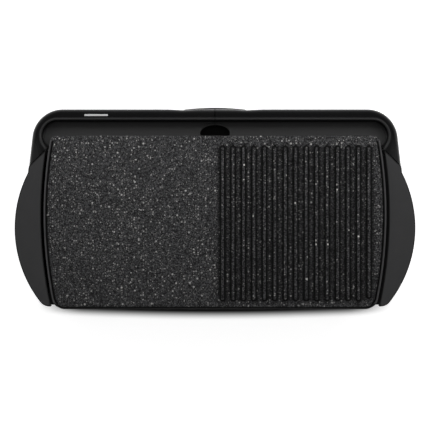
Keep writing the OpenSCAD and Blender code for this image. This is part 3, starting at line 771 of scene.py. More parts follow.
def plate_half_width(y, d):
    """Half width at depth y of the plate's outline drawn in by d."""
    side = LIP_X - SIDE_R + np.sqrt((SIDE_R - d) ** 2 - (y - SIDE_MID_Y) ** 2)
    for (cx, cy), r, sign, limit in ((FRONT_CORNER, PLATE_FRONT_R - d, -1, FRONT_ANGLE),
                                     (REAR_CORNER, PLATE_REAR_R - d, 1, REAR_ANGLE)):
        beyond = sign * (y - cy) > sign * r * math.sin(math.radians(limit))
        reach = cx + np.sqrt(np.maximum(r * r - (y - cy) ** 2, 0))
        side = np.where(beyond, reach, side)
    return side


def plate_shape():
    """The cast plate: a grid of columns over the ribs, a band of rings out to the edge, and its underside.

    Inside the band the height is top_height at each column and row. In the band, ring d is the inner
    boundary carried outwards along the outline's normal, so the lip and the rolled
    edges follow the outline."""
    shape = Shape()
    rows = plate_rows()
    offsets = np.array([0, 0.9, 1.4, 1.7, 2.0, 2.3, 2.6, 2.9, 3.25])
    offsets = np.unique(np.r_[-offsets, offsets])
    ribbed = -(RIB_XS[:, None] + offsets[None]).ravel()
    between = -(RIB_XS[:-1] + RIB_PITCH / 2)
    flat = np.linspace(-2, 218, 30)
    fixed = np.unique(np.concatenate([ribbed, between, flat]))
    widest = RIB_XS[-1] + offsets[-1]
    xs = np.unique(np.round(np.concatenate([fixed[np.abs(fixed) <= widest], [-widest, widest]]), 3))
    inner = plate_half_width(rows, BAND)
    squeeze = np.minimum(1, (inner - 0.4) / widest)
    middle = xs[None] * squeeze[:, None]
    edge = widest * squeeze
    extra = edge[:, None] + (inner - edge)[:, None] * np.array([[0.5, 1.0]])
    columns = np.concatenate([-extra[:, ::-1], middle, extra], 1)
    depths = np.broadcast_to(rows[:, None], columns.shape)
    heights = top_height(columns, depths, np.full(columns.shape, 99.0), np.zeros(columns.shape))
    shape.grid(np.stack([columns, depths, heights], -1))

    # the boundary of that grid, anticlockwise, and the way each point faces
    angle = np.degrees(np.arcsin(np.clip((rows - SIDE_MID_Y) / (SIDE_R - BAND), -1, 1)))
    r0, r1 = PLATE_FRONT_R - BAND, PLATE_REAR_R - BAND
    in_front = rows < FRONT_CORNER[1] + r0 * math.sin(math.radians(FRONT_ANGLE))
    in_rear = rows > REAR_CORNER[1] + r1 * math.sin(math.radians(REAR_ANGLE))
    angle = np.where(in_front, np.degrees(np.arcsin(np.clip((rows - FRONT_CORNER[1]) / r0, -1, 1))), angle)
    angle = np.where(in_rear, np.degrees(np.arcsin(np.clip((rows - REAR_CORNER[1]) / r1, -1, 1))), angle)
    n_columns = columns.shape[1]
    right = np.stack([columns[:, -1], rows], -1)
    front = np.stack([columns[0], np.full(n_columns, rows[0])], -1)[:-1]
    rear = np.stack([columns[-1], np.full(n_columns, rows[-1])], -1)[::-1][1:]
    left = (right * [-1, 1])[::-1][1:-1]
    loop = np.concatenate([front, right, rear, left])
    face = np.concatenate([np.full(len(front), -90.0), angle, np.full(len(rear), 90.0), angle[::-1][1:-1]])
    side = np.ones(len(loop))
    side[len(front) + len(right) + len(rear):] = -1
    a = np.radians(face)
    out = np.stack([np.cos(a) * side, np.sin(a)], -1)
    for part in (slice(0, len(front)), slice(len(front) + len(right), len(front) + len(right) + len(rear))):
        out[part, 0] = 0
        out[part, 1] = np.sign(np.sin(a[part]))

    def ring(d, z):
        return lift(loop + out * (BAND - d), z)

    depths_in = np.array([7, 6.3, 5.6, 5.0, 4.5, 4.0, 3.6, 3.2, 2.9, 2.6, 2.3, 2.0, 1.7, 1.4, 1.15, 0.9,
                          0.65, 0.42, 0.22, 0.1, 0.0])
    rings = []
    for d in depths_in:
        flat_ring = loop + out * (BAND - d)
        z = top_height(flat_ring[:, 0], flat_ring[:, 1], np.full(len(loop), d), face)
        rings.append(lift(flat_ring, z))
    front_share = smooth((-face - 55) / 25)
    for d, z_side, z_front in ((0.0, WEB_Z + 0.5, WEB_Z - 1.4), (0.15, WEB_Z + 0.15, WEB_Z - 1.8),
                               (0.6, WEB_Z, WEB_Z - 2.0), (2.6, WEB_Z, WEB_Z - 2.0),
                               (3.4, WEB_Z, WEB_Z - 1.6), (4.0, WEB_Z, WEB_Z - 0.2), (4.4, WEB_Z, WEB_Z)):
        rings.append(ring(d, z_side + (z_front - z_side) * front_share))
    shape.grid(np.stack(rings), wrap=True)
    shape.cap(rings[-1])
    return shape


def plate_skirt(shape):
    """The skirt under the plate: a round-edged wall carried along the outline, open behind the socket."""
    d = 3.0
    window = GUARD_HI[0] - 11
    front_y = BACK_Y + 3
    r0, r1 = 7.0, PLATE_REAR_R - d
    c0 = np.array([plate_centre(PLATE_FRONT_R, front_y + r0), front_y + r0])
    a0 = math.degrees(math.asin((c0[1] - SIDE_MID_Y) / (SIDE_R - PLATE_FRONT_R)))
    right = np.concatenate([
        [[window, REAR_Y - d]],
        arc(REAR_CORNER[0], REAR_CORNER[1], r1, 90, REAR_ANGLE, 12),
        arc(LIP_X - SIDE_R, SIDE_MID_Y, SIDE_R - d, REAR_ANGLE, a0, 16)[1:],
        arc(c0[0], c0[1], r0, a0, -90, 8)[1:],
        [[0, front_y]],
    ])
    chain = np.concatenate([right, (right * [-1, 1])[::-1][1:]])
    t = 3.0
    section = [(0, WEB_Z + 0.4), (0, SKIRT_Z + 1), (0.3, SKIRT_Z + 0.3), (1, SKIRT_Z), (t - 1, SKIRT_Z),
               (t - 0.3, SKIRT_Z + 0.3), (t, SKIRT_Z + 1), (t, WEB_Z + 0.4)]
    shape.sweep(chain, section)


def plate_crease_shade(p):
    """Painted shade from 0 to 1: how deep a point lies in a groove, at a rib's foot or over the rear roll,
    with a little between the ribs and along the front edge.
    """
    x, y, z = p.T
    d = plate_depth(x, y)
    angle = facing(x, y)
    groove = smooth((d - 1.7) / 0.8) * smooth((5.4 - d) / 1.4) * lip_share(angle)
    q = rib_distance(x, y)
    foot = smooth((q - 1.4) / 0.6) * smooth((5.1 - q) / 1.2)
    between = 0.30 * smooth((q - 2.4) / 1.5) * smooth((9.5 - q) / 2.5)
    rear = smooth((4.4 - d) / 1.4) * smooth((angle - 25) / 20)
    front = smooth((1.2 - d) / 0.9) * smooth((-angle - 60) / 20) * 0.55
    return np.clip(np.maximum.reduce([groove, foot, between, rear, front]), 0, 1) * (z > WEB_Z + 0.5)


def plate_bare(p):
    """1 on the lips, the edges and everything below the cooking face, where the coating has no flecks."""
    x, y, z = p.T
    d = plate_depth(x, y)
    lip = smooth((3.4 - d) / 1.2) * lip_share(facing(x, y))
    return np.clip(np.maximum(lip, z < WEB_Z + 0.5), 0, 1)


def clamp_places():
    """Middles of the clamps on the +X side, on the element's straight runs."""
    x, y0, y1 = ELEMENT_HI[0] - 4, ELEMENT_LO[1] + 4, BAR_LO[1] - 27
    return [(x - 60, y1), (x - 130, y1), (x - 55, y0)]


TUBE_R = 4.0
TUBE_Z = WEB_Z - TUBE_R - 3
CLAMP_REACH = 9.0
EAR_X = GUARD_HI[0] - 6
EAR_Y = GUARD_LO[1] + 8
PROBE_Y0 = box_mm("probe_guide")[0][1]


def plate_underside(shape):
    """Bosses, saddles and the probe's rail under the plate, each with round edges."""
    top = WEB_Z + 0.3
    for x, y in clamp_places():
        for s in (-1, 1):
            shape.pair(Shape().slab(arc(x, y + s * CLAMP_REACH, 3.2, 0, 345, 23), TUBE_Z - TUBE_R, top, 0.5))
        shape.pair(Shape().slab(rectangle(x - 8, y - 6, x + 8, y + 6, 1.5), TUBE_Z + TUBE_R + 0.1, top, 0.4))
    for y in PAD_YS:
        shape.pair(Shape().slab(arc(PAD_X, y, PAD_R, 0, 352, 44), SKIRT_Z - 2, top, 0.8))
    shape.pair(Shape().slab(arc(EAR_X, EAR_Y, 4, 0, 345, 23), WEB_Z - 0.5, top, 0.1))
    shape.slab(rectangle(-9, PROBE_Y0 + 4, 9, GUARD_LO[1] - 8, 2), TUBE_Z + 5.1, top, 0.8)


# ---- the frame's front ----

def tray_opening():
    """Half width of the opening that the drip tray slides through."""
    return TRAY_HALF_W + 0.8


def seam_points():
    """Inner and outer end of the slanting seam between the frame's front and a handle."""
    y_in, y_out = FRONT_Y + 56, FRONT_Y + 79
    x_out = handle_arc()[0] - (HANDLE_Y0 - y_out) * math.tan(math.radians(FLARE))
    return np.array([bowed(SLOT_X, y_in), y_in]), np.array([x_out, y_out])


def handle_arc():
    """Where a handle's outer edge starts across the width, and its circle's middle, radius and first
    angle."""
    flare = math.radians(FLARE)
    flare_y = FRONT_Y + CORNER_R - CORNER_R * math.sin(flare)
    x0 = CORNER_X + CORNER_R * math.cos(flare) + (HANDLE_Y0 - flare_y) * math.tan(flare)
    bulge, run = HALF_W - x0, HANDLE_MID_Y - HANDLE_Y0
    r = (run ** 2 + bulge ** 2) / (2 * bulge)
    return x0, HALF_W - r, r, math.degrees(math.asin(-run / r))


def handle_bosses():
    """Middles of a handle's three screws: on a circle 14 mm inside its outer edge, at set runs along it."""
    _, cx, r, _ = handle_arc()
    turns = [math.radians(a * HANDLE_R / r) for a in BOSS_ANGLES]
    return [(cx + (r - BOSS_IN) * math.cos(a), HANDLE_MID_Y + (r - BOSS_IN) * math.sin(a)) for a in turns]


def around_gutter(angles, r):
    """Points at the given angles on a circle of radius r about the round end of the gutter."""
    a = np.radians(angles)
    return np.stack([GUTTER_END_X + r * np.cos(a), GUTTER_Y + r * np.sin(a)], -1)


def rim_stations():
    """Stations along the rim: outer edge, inner edge, foot of the gutter's wall and the way in from it."""
    seam_in, seam_out = seam_points()
    edge_r = GUTTER_R + 1
    x = np.r_[SEAM / 2, np.linspace(7, 41, 6), tray_opening(), tray_opening(), 48, 52, 58, 66, 80, 100, 125,
              150, 175, 195, CORNER_X]
    straight = np.stack([x, np.full(len(x), FRONT_Y)], -1)
    corner = arc(CORNER_X, FRONT_Y + CORNER_R, CORNER_R, -90, -FLARE, 28)[1:]
    flare = np.linspace(corner[-1], seam_out, 13)[1:]
    beside = x + (GUTTER_END_X - CORNER_X) * smooth((x - 100) / (CORNER_X - 100))
    inner_straight = np.stack([beside, np.full(len(x), GUTTER_Y - edge_r)], -1)
    bend = np.linspace(-90, -FLARE, len(corner) + 1)[1:]
    rest = np.linspace(-FLARE, 50, len(flare) + 1)[1:]
    tangent = around_gutter(28, edge_r)
    straight_on = np.clip((rest - 28) / 22, 0, 1)[:, None]
    inner_flare = np.where(rest[:, None] < 28, around_gutter(rest, edge_r),
                           tangent + (seam_in - tangent) * straight_on)
    inner = np.concatenate([inner_straight, around_gutter(bend, edge_r), inner_flare])
    foot_flare = around_gutter(rest, edge_r - smooth(rest / 50))
    foot = np.concatenate([inner_straight, around_gutter(bend, edge_r), foot_flare])
    turn = np.radians(np.r_[np.full(len(x), -90.0), bend, rest])
    return np.concatenate([straight, corner, flare]), inner, foot, -np.stack([np.cos(turn), np.sin(turn)], -1)


def back_stations():
    """Stations along the low wall behind the gutter, from the seam to the middle: outer face, foot, way
    in."""
    bend = np.linspace(50, 90, 10)
    x = np.r_[np.linspace(GUTTER_END_X, 64, 9)[1:], 56, tray_opening() + 4, tray_opening() + 4, 30, SEAM / 2]
    level = lambda r: np.stack([x, np.full(len(x), GUTTER_Y + r)], -1)
    outer = np.concatenate([around_gutter(bend, GUTTER_R + WALL), level(GUTTER_R + WALL)])
    foot = np.concatenate([around_gutter(bend, GUTTER_R), level(GUTTER_R)])
    turn = np.radians(np.r_[bend, np.full(len(x), 90.0)])
    return outer, foot, -np.stack([np.cos(turn), np.sin(turn)], -1)


def carried(start, way, table):
    """At each station, the point at each (offset, height) of a table, offset along the way from the start."""
    rows = []
    for offset, z in table:
        offset = np.broadcast_to(np.asarray(offset, float), len(start))
        rows.append(lift(start + way * offset[:, None], np.broadcast_to(z, len(start))))
    return np.stack(rows, 1)


def floor_height(x):
    """The gutter's floor, a plane that falls a little towards the drain in the middle."""
    return GUTTER_FLOOR_Z + 0.9 * x / GUTTER_END_X - 0.45


def trough_tables(zf):
    """Sections of the gutter's wall foot, above and below, as offsets in from the foot of the wall."""
    above = [(0.35, zf + 5), (0.8, zf + 3), (1.6, zf + 1.4), (2.8, zf + 0.4), (4.2, zf), (5.0, zf)]
    below = [(5.0, zf - WALL), (3.2, zf - WALL)]
    return above, below


def front_frame_shape():
    """One half of the frame's front as a closed shell.

    A section of (offset, height) is carried along the rim from the middle to the slanting seam, and
    another along the low wall behind the gutter, with the same number of points. The gutter's floor,
    with its drain, closes them."""
    outer, inner, foot, way = rim_stations()
    across, w = unit(inner - outer), np.linalg.norm(inner - outer, axis=1)
    x, z1, open_z = outer[:, 0], RIM_Z, TRAY_HI[2] + 0.8
    first = np.r_[True, np.diff(x) > 1e-6] | (x > tray_opening() + 1)
    z0 = np.where((x < tray_opening() + 1e-3) & first, open_z, FRAME_Z)
    zf = floor_height(foot[:, 0])
    above, below = trough_tables(zf)
    draw = 1.1 * np.exp(-((x - tray_opening()) / 13.0) ** 2)
    side = [(draw, z0), (draw, open_z), (draw, z1 - 9), (draw, z1 - 7), (draw + 0.15, z1 - 5.2),
            (0.9 * draw + 0.6, z1 - 3.6), (0.8 * draw + 1.4, z1 - 2.2), (0.7 * draw + 2.5, z1 - 1.15),
            (0.5 * draw + 3.8, z1 - 0.5), (0.3 * draw + 5.2, z1 - 0.15), (6.6, z1 - 0.02),
            (0.55 * w, z1 - 0.05), (w - 4.2, z1 - 0.5), (w - 2.9, z1 - 0.55), (w - 2.0, z1 - 0.2),
            (w - 1.2, z1), (w - 0.5, z1 - 0.3), (w - 0.05, z1 - 1.1)]
    skin = draw + 2.5
    hollow = [(w - 2.6, z1 - 3.2), (0.5 * w, z1 - 2.6), (draw + 4.5, z1 - 3.0), (skin, z1 - 5.5),
              (skin, open_z + 0.01), (skin, z0)]
    rim = np.concatenate([carried(outer, across, side), carried(foot, way, above + below),
                          carried(foot, way, [(1.0, zf - 1.6), (-0.9, zf + 0.5), (-2.4, zf + 3)]),
                          carried(outer, across, hollow)], 1)
    rim[-1, len(side) + len(above) + 1:] += np.r_[unit(outer[-2] - outer[-1]) * WALL, 0]

    outer, foot, way = back_stations()
    x, z1 = outer[:, 0], WEB_Z - 1
    again = np.r_[False, np.abs(np.diff(x)) < 1e-6]
    z0 = np.where((x < tray_opening() + 4 - 1e-3) | again, open_z, FRAME_Z)
    zf = floor_height(foot[:, 0])
    above, below = trough_tables(zf)
    side = [(0, z0), (0, open_z)] + [(0, z1 - h) for h in (6, 5, 4, 3, 2, 1.2, 0.7)]
    side += [(0.18, z1 - 0.18), (0.6, z1)]
    side += [(t, z1) for t in (0.8, 1.0, 1.2, 1.4, WALL - 0.6)] + [(WALL - 0.18, z1 - 0.18), (WALL, z1 - 0.7)]
    low = [(1.6, zf - WALL), (0.5, zf - WALL), (0.1, zf - WALL - 0.2)]
    low += [(0, zf - WALL - 0.25 - 0.03 * k) for k in range(4)] + [(0, open_z + 0.01), (0, z0)]
    back = np.concatenate([carried(outer, way, side), carried(foot, way, above + below + low)], 1)
    points = np.concatenate([rim, back])

    shape = Shape()
    n_over = len(side) + len(above)
    shape.grid(points[:, :n_over])
    shape.grid(np.concatenate([points[:, n_over:], points[:, :1]], 1))
    shape.cap(points[0]).cap(points[-1])
    gutter_floor(shape, points[:, n_over - 1], points[:, n_over])
    return shape


def trough_and_bead_sheen(p):
    """1 on the gutter's floor, 0 on its wall, and part way on the rim's bead and beside the slanting seam.
    The floor's colour stops short of the wall, so the fillet at the wall's foot keeps the dark rim colour as
    painted shade; on the bead the paler colour is a painted highlight, and beside the slanting seam the rim
    is painted paler.
    """
    x, y, z = p.T
    beside = np.hypot(np.maximum(np.abs(x) - GUTTER_END_X, 0), y - GUTTER_Y)
    low = smooth((GUTTER_FLOOR_Z + 1.6 - z) / 0.9) * (z > GUTTER_FLOOR_Z - 1)
    # The floor's colour stops short of the wall; the fillet at its foot stays dark as painted shade.
    floor = smooth((GUTTER_R - 2.2 - beside) / 1.6) * low
    near_seam = 0.34 * smooth((y - FRONT_Y - 30) / 34) * smooth((np.abs(x) - GUTTER_END_X - 20) / 12)
    # Painted highlight along the rim's inner bead.
    bead = 0.75 * np.exp(-((beside - GUTTER_R - 1.6) / 1.9) ** 2)
    return floor + np.maximum(near_seam, bead) * (z > RIM_Z - 1.2)


def drain_ring(grow, drop):
    """The drain's half oval on this side of the seam, from rear to front, grown and set below the floor."""
    a = np.radians(np.linspace(90, -90, 33))
    oval = np.stack([(20.5 + grow) * np.cos(a), GUTTER_Y - 4 + (11.5 + grow) * np.sin(a)], -1)
    oval[:, 0] = np.maximum(oval[:, 0], SEAM / 2)
    return lift(oval, floor_height(oval[:, 0]) - drop)


def gutter_floor(shape, upper, lower):
    """The gutter's floor above and below, with the drain's rounded rim and its short spout."""
    profile = ((4.0, 0.0), (3.0, 0.0), (2.2, -0.22), (1.6, -0.3), (0.9, -0.15), (0.4, 0.3), (0.1, 1.0),
               (0.0, 1.8), (0.0, 4.4), (1.2, 4.4), (1.5, 4.1), (1.6, WALL))
    rings = np.stack([drain_ring(grow, drop) for grow, drop in profile])
    shape.grid(rings)
    shape.cap(np.concatenate([upper, rings[0]]))
    shape.cap(np.concatenate([lower, rings[-1]])[::-1])
    shape.cap(np.concatenate([[lower[0], upper[0]], rings[:, -1]]))
    shape.cap(np.concatenate([[lower[-1], upper[-1]], rings[:, 0]]))


def frame_fixings(shape):
    """Shelf behind the gutter, leg boss and carrier bosses under the frame's front."""
    shape.slab(rectangle(CARRIER_X, BACK_Y - 0.6, SLOT_X - 16, BACK_Y + 17, 2), SHELF_Z - 4, SHELF_Z, 0.6)
    for x, y, r in ((LEG_X, LEG_YS[0], 9), (CARRIER_X, CARRIER_YS[0], 5), (CARRIER_X, CARRIER_YS[1], 5)):
        shape.slab(arc(x, y, r, 0, 350, 35), FRAME_Z, GUTTER_FLOOR_Z - WALL + 0.4, 0.6)


# ---- the handles ----

def handle_sides():
    """A handle's inner edge beside the plate's slot and its outer edge, from the slanting seam to the tip."""
    seam_in, seam_out = seam_points()
    _, cx, r, start = handle_arc()
    tip_cx = cx + math.sqrt((r - TIP_R) ** 2 - (TIP_Y - TIP_R - HANDLE_MID_Y) ** 2)
    tip = math.degrees(math.atan2(TIP_Y - TIP_R - HANDLE_MID_Y, tip_cx - cx))
    y = np.linspace(seam_in[1], TIP_Y - 4, 40)
    inner = np.stack([bowed(SLOT_X, y), y], -1)
    outer = np.concatenate([[seam_out], arc(cx, HANDLE_MID_Y, r, start, tip, 60),
                            arc(tip_cx, TIP_Y - TIP_R, TIP_R, tip, 98, 16)[1:]])
    return inner, outer


def handle_loop(gap=0.0, n=70):
    """Closed anticlockwise outline of a handle, drawn back by gap from the slanting seam."""
    inner, outer = handle_sides()
    inner, outer = resample(inner, n), resample(outer, n)
    shift = np.zeros_like(inner)
    shift[0, 1] = gap
    rear = np.linspace(outer[-1], inner[-1], 4)[1:-1]
    front = np.linspace(inner[0] + shift[0], outer[0] + shift[0], 8)[1:-1]
    return np.concatenate([outer[:1] + shift[0], outer[1:], rear, inner[::-1][:-1], inner[:1] + shift[0],
                           front])


def cover_shape():
    """A handle cover: straight lines from the inner to the outer edge, lifted by distance from the outline.

    Height is top - r + sqrt(r^2 - (r - d)^2) within r of the edge, plus a crown of 0.45 sin(pi t) across."""
    inner, outer = handle_sides()
    n = 90
    inner, outer = resample(inner, n), resample(outer, n)
    gap = np.array([0, HANDLE_SEAM])
    inner[0] += gap
    outer[0] += gap
    t = np.r_[0, 0.004, 0.012, 0.025, 0.045, 0.07, 0.1, 0.15, 0.22, 0.3, 0.4, 0.5]
    t = np.unique(np.r_[t, 1 - t])
    near_seam = np.r_[0, 0.1, 0.3, 0.6, 1.0]
    s = np.unique(np.r_[near_seam, np.arange(1, n - 1), n - 1 + np.r_[0.3, 0.6, 0.85, 1.0]])
    pick = lambda side: np.stack([np.interp(s, np.arange(n + 1), side[:, k]) for k in (0, 1)], -1)
    a, b = pick(inner), pick(outer)
    flat = a[:, None] + (b - a)[:, None] * t[None, :, None]
    loop = np.concatenate([flat[0], flat[1:, -1], flat[-1, ::-1][1:], flat[::-1, 0][1:-1]])
    d = distance_to(flat.reshape(-1, 2), loop).reshape(flat.shape[:2])
    round_r = 1.3
    crown = 0.45 * np.sin(np.pi * t)[None] * smooth((s / n)[:, None] * 6) * smooth((1 - s / n)[:, None] * 6)
    z = RIM_Z + roll_height(d, round_r) + crown * smooth(d / 6)
    shape = Shape()
    shape.grid(lift(flat, z))
    rings = [lift(loop, RIM_Z - round_r)]
    for depth, height in ((0, ARM_TOP_Z + 0.7), (0.15, ARM_TOP_Z + 0.25), (0.5, ARM_TOP_Z + 0.05)):
        rings.append(lift(inset(loop, depth), height))
    shape.grid(np.stack(rings), wrap=True)
    shape.cap(rings[-1])
    return shape


def arm_shape():
    """The arm under a handle cover: a shell like a tray turned over, with its ledge and lower wall."""
    shape = Shape()
    loop = handle_loop(-0.2)
    top, low = ARM_TOP_Z, ARM_TOP_Z - 14
    profile = ((6, top), (0.8, top), (0.45, top - 0.1), (0.3, top - 0.5), (0.3, low + 4.2),
               (0.5, low + 2.6), (1.1, low + 1.2), (2.0, low + 0.3), (2.9, low), (3.4, low + 0.3),
               (3.4, low + 1.2), (3.4, top - 3.4), (3.8, top - 3), (6, top - 3))
    rings = np.stack([lift(inset(loop, d), z) for d, z in profile])
    shape.loft(rings)
    ledge_y = np.linspace(FRONT_Y + 59, REAR_Y - 6.5, 60)
    inner = np.stack([plate_half_width(ledge_y, -0.8), ledge_y], -1)
    outer = np.stack([bowed(SLOT_X + 0.6, ledge_y), ledge_y], -1)
    behind_wall = around_gutter(np.linspace(60, 51, 5), GUTTER_R + WALL + 0.2)
    shape.slab(np.concatenate([outer, inner[::-1], behind_wall, outer[:1] - [[0, 2.2]]]), low + 2, top, 0.5)
    wall_y = np.linspace(BACK_Y + 0.1, TIP_Y - 8, 40)
    wall_in = np.stack([bowed(SLOT_X, wall_y), wall_y], -1)
    wall_out = np.stack([bowed(SLOT_X + 3, wall_y), wall_y], -1)
    shape.slab(np.concatenate([wall_out, wall_in[::-1]]), FRAME_Z, low + 1, 0.5)
    y0, y1 = BAR_LO[1], BAR_HI[1] - 3
    tongue = [[LEG_X - 26, y0], [bowed(SLOT_X + 1, y0), y0], [bowed(SLOT_X + 1, y1), y1], [LEG_X - 26, y1]]
    shape.slab(round_corners(tongue, [2, 0.5, 0.5, 2]), FRAME_Z, FRAME_Z + 4, 0.5)
    y0 = wall_y[0]
    shelf = rectangle(SLOT_X - 40, y0, float(bowed(SLOT_X + 1, y0)), y0 + 17 - 0.1, 1)
    shape.slab(shelf, FRAME_Z + 10, FRAME_Z + 14, 0.5)
    for x, y in handle_bosses():
        shape.slab(arc(x, y, 5, 0, 345, 23), low + 4, top - 2, 0.5)
    return shape


# ---- the drip tray ----

def tray_shape():
    """The drip tray: a pressed basin of round-cornered rings behind a crowned front with a finger scoop."""
    shape = Shape()
    x, y0, y1 = TRAY_HALF_W - 0.5, FRONT_Y + 0.4, TRAY_HI[1]
    z0, z1 = TRAY_LO[2], TRAY_LO[2] + 23
    loop = lambda d: rectangle(-x + d, y0 + d, x - d, y1 - d, max(9 - d, 1.5), 8)
    profile = ((12, z0 + 2), (7.5, z0 + 2.1), (5.6, z0 + 2.9), (4.4, z0 + 4.3), (3.6, z0 + 7),
               (2.2, z1 - 1.2), (1.9, z1 - 0.4), (1.5, z1), (0.9, z1), (0.3, z1 - 0.2), (0, z1 - 0.8),
               (0.1, z1 - 2), (0.9, z1 - 2.6), (1.9, z0 + 6.5), (2.8, z0 + 3), (4.2, z0 + 1),
               (6.4, z0 + 0.1), (12, z0))
    shape.loft(np.stack([lift(loop(d), z) for d, z in profile]))

    half, crown = TRAY_HALF_W, (FRONT_Y - TRAY_LO[1]) * 0.85
    u = np.concatenate([np.linspace(-half, -half + 2.5, 6), np.linspace(-half + 5, half - 5, 41),
                        np.linspace(half - 2.5, half, 6)])
    v = np.concatenate([TRAY_LO[2] + np.r_[0, 0.3, 0.7, 1.2, 2.0],
                        np.linspace(TRAY_LO[2] + 3, TRAY_HI[2] - 3, 15),
                        TRAY_HI[2] - np.r_[2.2, 1.5, 0.9, 0.5, 0.2, 0]])
    across, up = np.meshgrid(u, v, indexing="ij")
    edge = np.minimum(np.minimum(half - np.abs(across), up - TRAY_LO[2]), TRAY_HI[2] - up)
    rolled = -roll_height(edge, 1.6)
    scoop_z = TRAY_LO[2] + 9
    reach = ((across / 22) ** 2 + ((up - scoop_z) / 6.2) ** 2)
    scoop = 1.7 * smooth(1.25 - reach)
    face_y = TRAY_LO[1] + crown * (across / half) ** 2 + rolled + scoop
    border = np.stack([across, face_y, up], -1)
    shape.grid(border)
    ring = np.concatenate([border[:, 0], border[-1, 1:], border[::-1, -1][1:], border[0, ::-1][1:-1]])
    back = ring.copy()
    back[:, 1] = FRONT_Y + 1.6
    shape.grid(np.stack([ring, back]), wrap=True)
    shape.cap(back)
    return shape


def carrier_shape():
    """The tray's channel: a floor with two ears, and a wall carried round its sides and back."""
    lo, hi = box_mm("tray_carrier")
    x, t = TRAY_HALF_W + 0.8, 2.0
    shape = Shape()
    outline = round_corners([[-hi[0], lo[1]], [hi[0], lo[1]], [hi[0], BACK_Y], [x + t, BACK_Y],
                             [x + t, hi[1]],
                             [-x - t, hi[1]], [-x - t, BACK_Y], [-hi[0], BACK_Y]], [4, 4, 4, 1, 3, 3, 1, 4])
    shape.slab(outline, FRAME_Z - t, FRAME_Z, 0.5)
    for s in (-1, 1):
        x0, x1 = sorted((s * x, s * (x + t)))
        shape.slab(rectangle(x0, lo[1], x1, hi[1], 0.6), FRAME_Z - 0.4, hi[2], 0.5)
    shape.slab(rectangle(-x - 0.3, hi[1] - t, x + 0.3, hi[1], 0.6), FRAME_Z - 0.4, FRAME_Z + 8, 0.5)
    for y in np.linspace(lo[1] + 18, hi[1] - 14, 3):
        shape.slab(rectangle(-x + 10, y - 1.2, x - 10, y + 1.2, 1.1), FRAME_Z - 0.4, FRAME_Z + 0.35, 0.3)
    return shape


# ---- the rear crossbar, the reflector and the legs ----

def crossbar_shape():
    """The rear crossbar's shelf and upright wall, notched for the socket, with blocks over the legs."""
    shape = Shape()
    x = BAR_HI[0]
    y0, y1 = BAR_LO[1], BAR_HI[1]
    shape.slab(rectangle(-x, y0, x, y1, 1.5), SHELF_Z - 4, SHELF_Z, 0.7)
    notch = GUARD_HI[0] - EAR_REACH + 4
    z0, z1, zn = BAR_LO[2], BAR_HI[2], SHELF_Z + 1
    wall = round_corners([[-x, z0], [x, z0], [x, z1], [notch, z1], [notch, zn], [-notch, zn], [-notch, z1],
                          [-x, z1]],
                         [2, 2, 2, 1.5, 1.0, 1.0, 1.5, 2])
    shape.slab(wall, y1 - 3, y1, 0.7, axes=(0, 2, 1))
    for rib in np.linspace(notch + 25, x - 60, 5):
        for s in (-1, 1):
            web = rectangle(s * rib - 0.9, y0 + 3, s * rib + 0.9, y1 - 2, 0.7)
            shape.slab(web, z0 + 4, SHELF_Z - 3.5, 0.4)
    shape.pair(Shape().slab(rectangle(LEG_X - 24, y0, x, y1, 2), FRAME_Z + 4, SHELF_Z - 0.5, 0.7))
    return shape


def reflector_shape():
    """The reflector: sheet metal pressed down as a shallow pan with a raised bead round its floor."""
    shape = Shape()
    x, y0, y1 = PAN_HI[0], pan_front(), BAR_LO[1] - 2
    z_low, z_top, t = PAN_LO[2], PAN_HI[2], 1.0
    loop = lambda d: rectangle(-x + d, y0 + d, x - d, y1 - d, max(10 - d * 0.4, 3), 8)
    bead = [(60, 0), (40, 0), (27, 0), (24, 0.3), (22, 1.0), (19.5, 1.6), (17, 1.0), (15, 0.3), (12, 0)]
    inside = [(6.5, 0), (5.0, 0.5), (3.9, 1.6), (3.3, 3.4), (2.2, 6.6), (1.8, 8.0), (1.2, 8.8), (0.6, 9.0),
              (0, 9.0)]
    outside = [(0, 9.0), (1.9, 8.6), (2.9, 6.6), (4.2, 3.0), (4.9, 1.2), (6.2, 0.0)]
    upper = [lift(loop(d), z_low + t + h) for d, h in bead + inside]
    lower = [lift(loop(d), z_low + h) for d, h in outside + bead[::-1]]
    shape.loft(np.stack(upper + lower))
    flange_z = z_top - t
    shape.slab(rectangle(-x, y1 - 0.6, x, BAR_HI[1] - 4, 2), flange_z, z_top, 0.4)
    shape.pair(Shape().slab(rectangle(TRAY_HALF_W + 18, BACK_Y + 1, x, y0 + 0.6, 2), flange_z, z_top, 0.4))
    return shape


def pan_front():
    """Front of the reflector's pan, just behind the tray's channel."""
    return box_mm("tray_carrier")[1][1] + 1


def leg_shape(lo, hi):
    """A moulded leg: a cone with a collar under the frame, round at both ends, and a hollow foot."""
    x, y = (lo[0] + hi[0]) / 2, (lo[1] + hi[1]) / 2
    z0, z1 = lo[2], hi[2]
    shape = Shape()
    profile = [(2.1, z1 - 8), (5.2, z1 - 8), (5.2, z0 + 0.4), (5.6, z0), (10.3, z0), (10.8, z0 + 0.3),
               (11.0, z0 + 1.0), (13.6, z1 - 7), (13.75, z1 - 6.3), (14.2, z1 - 5.9), (14.75, z1 - 5.4),
               (15, z1 - 4.6), (15, z1 - 0.6), (14.8, z1 - 0.15), (14.3, z1), (6, z1)]
    return shape.lathe(x, y, profile, 56)


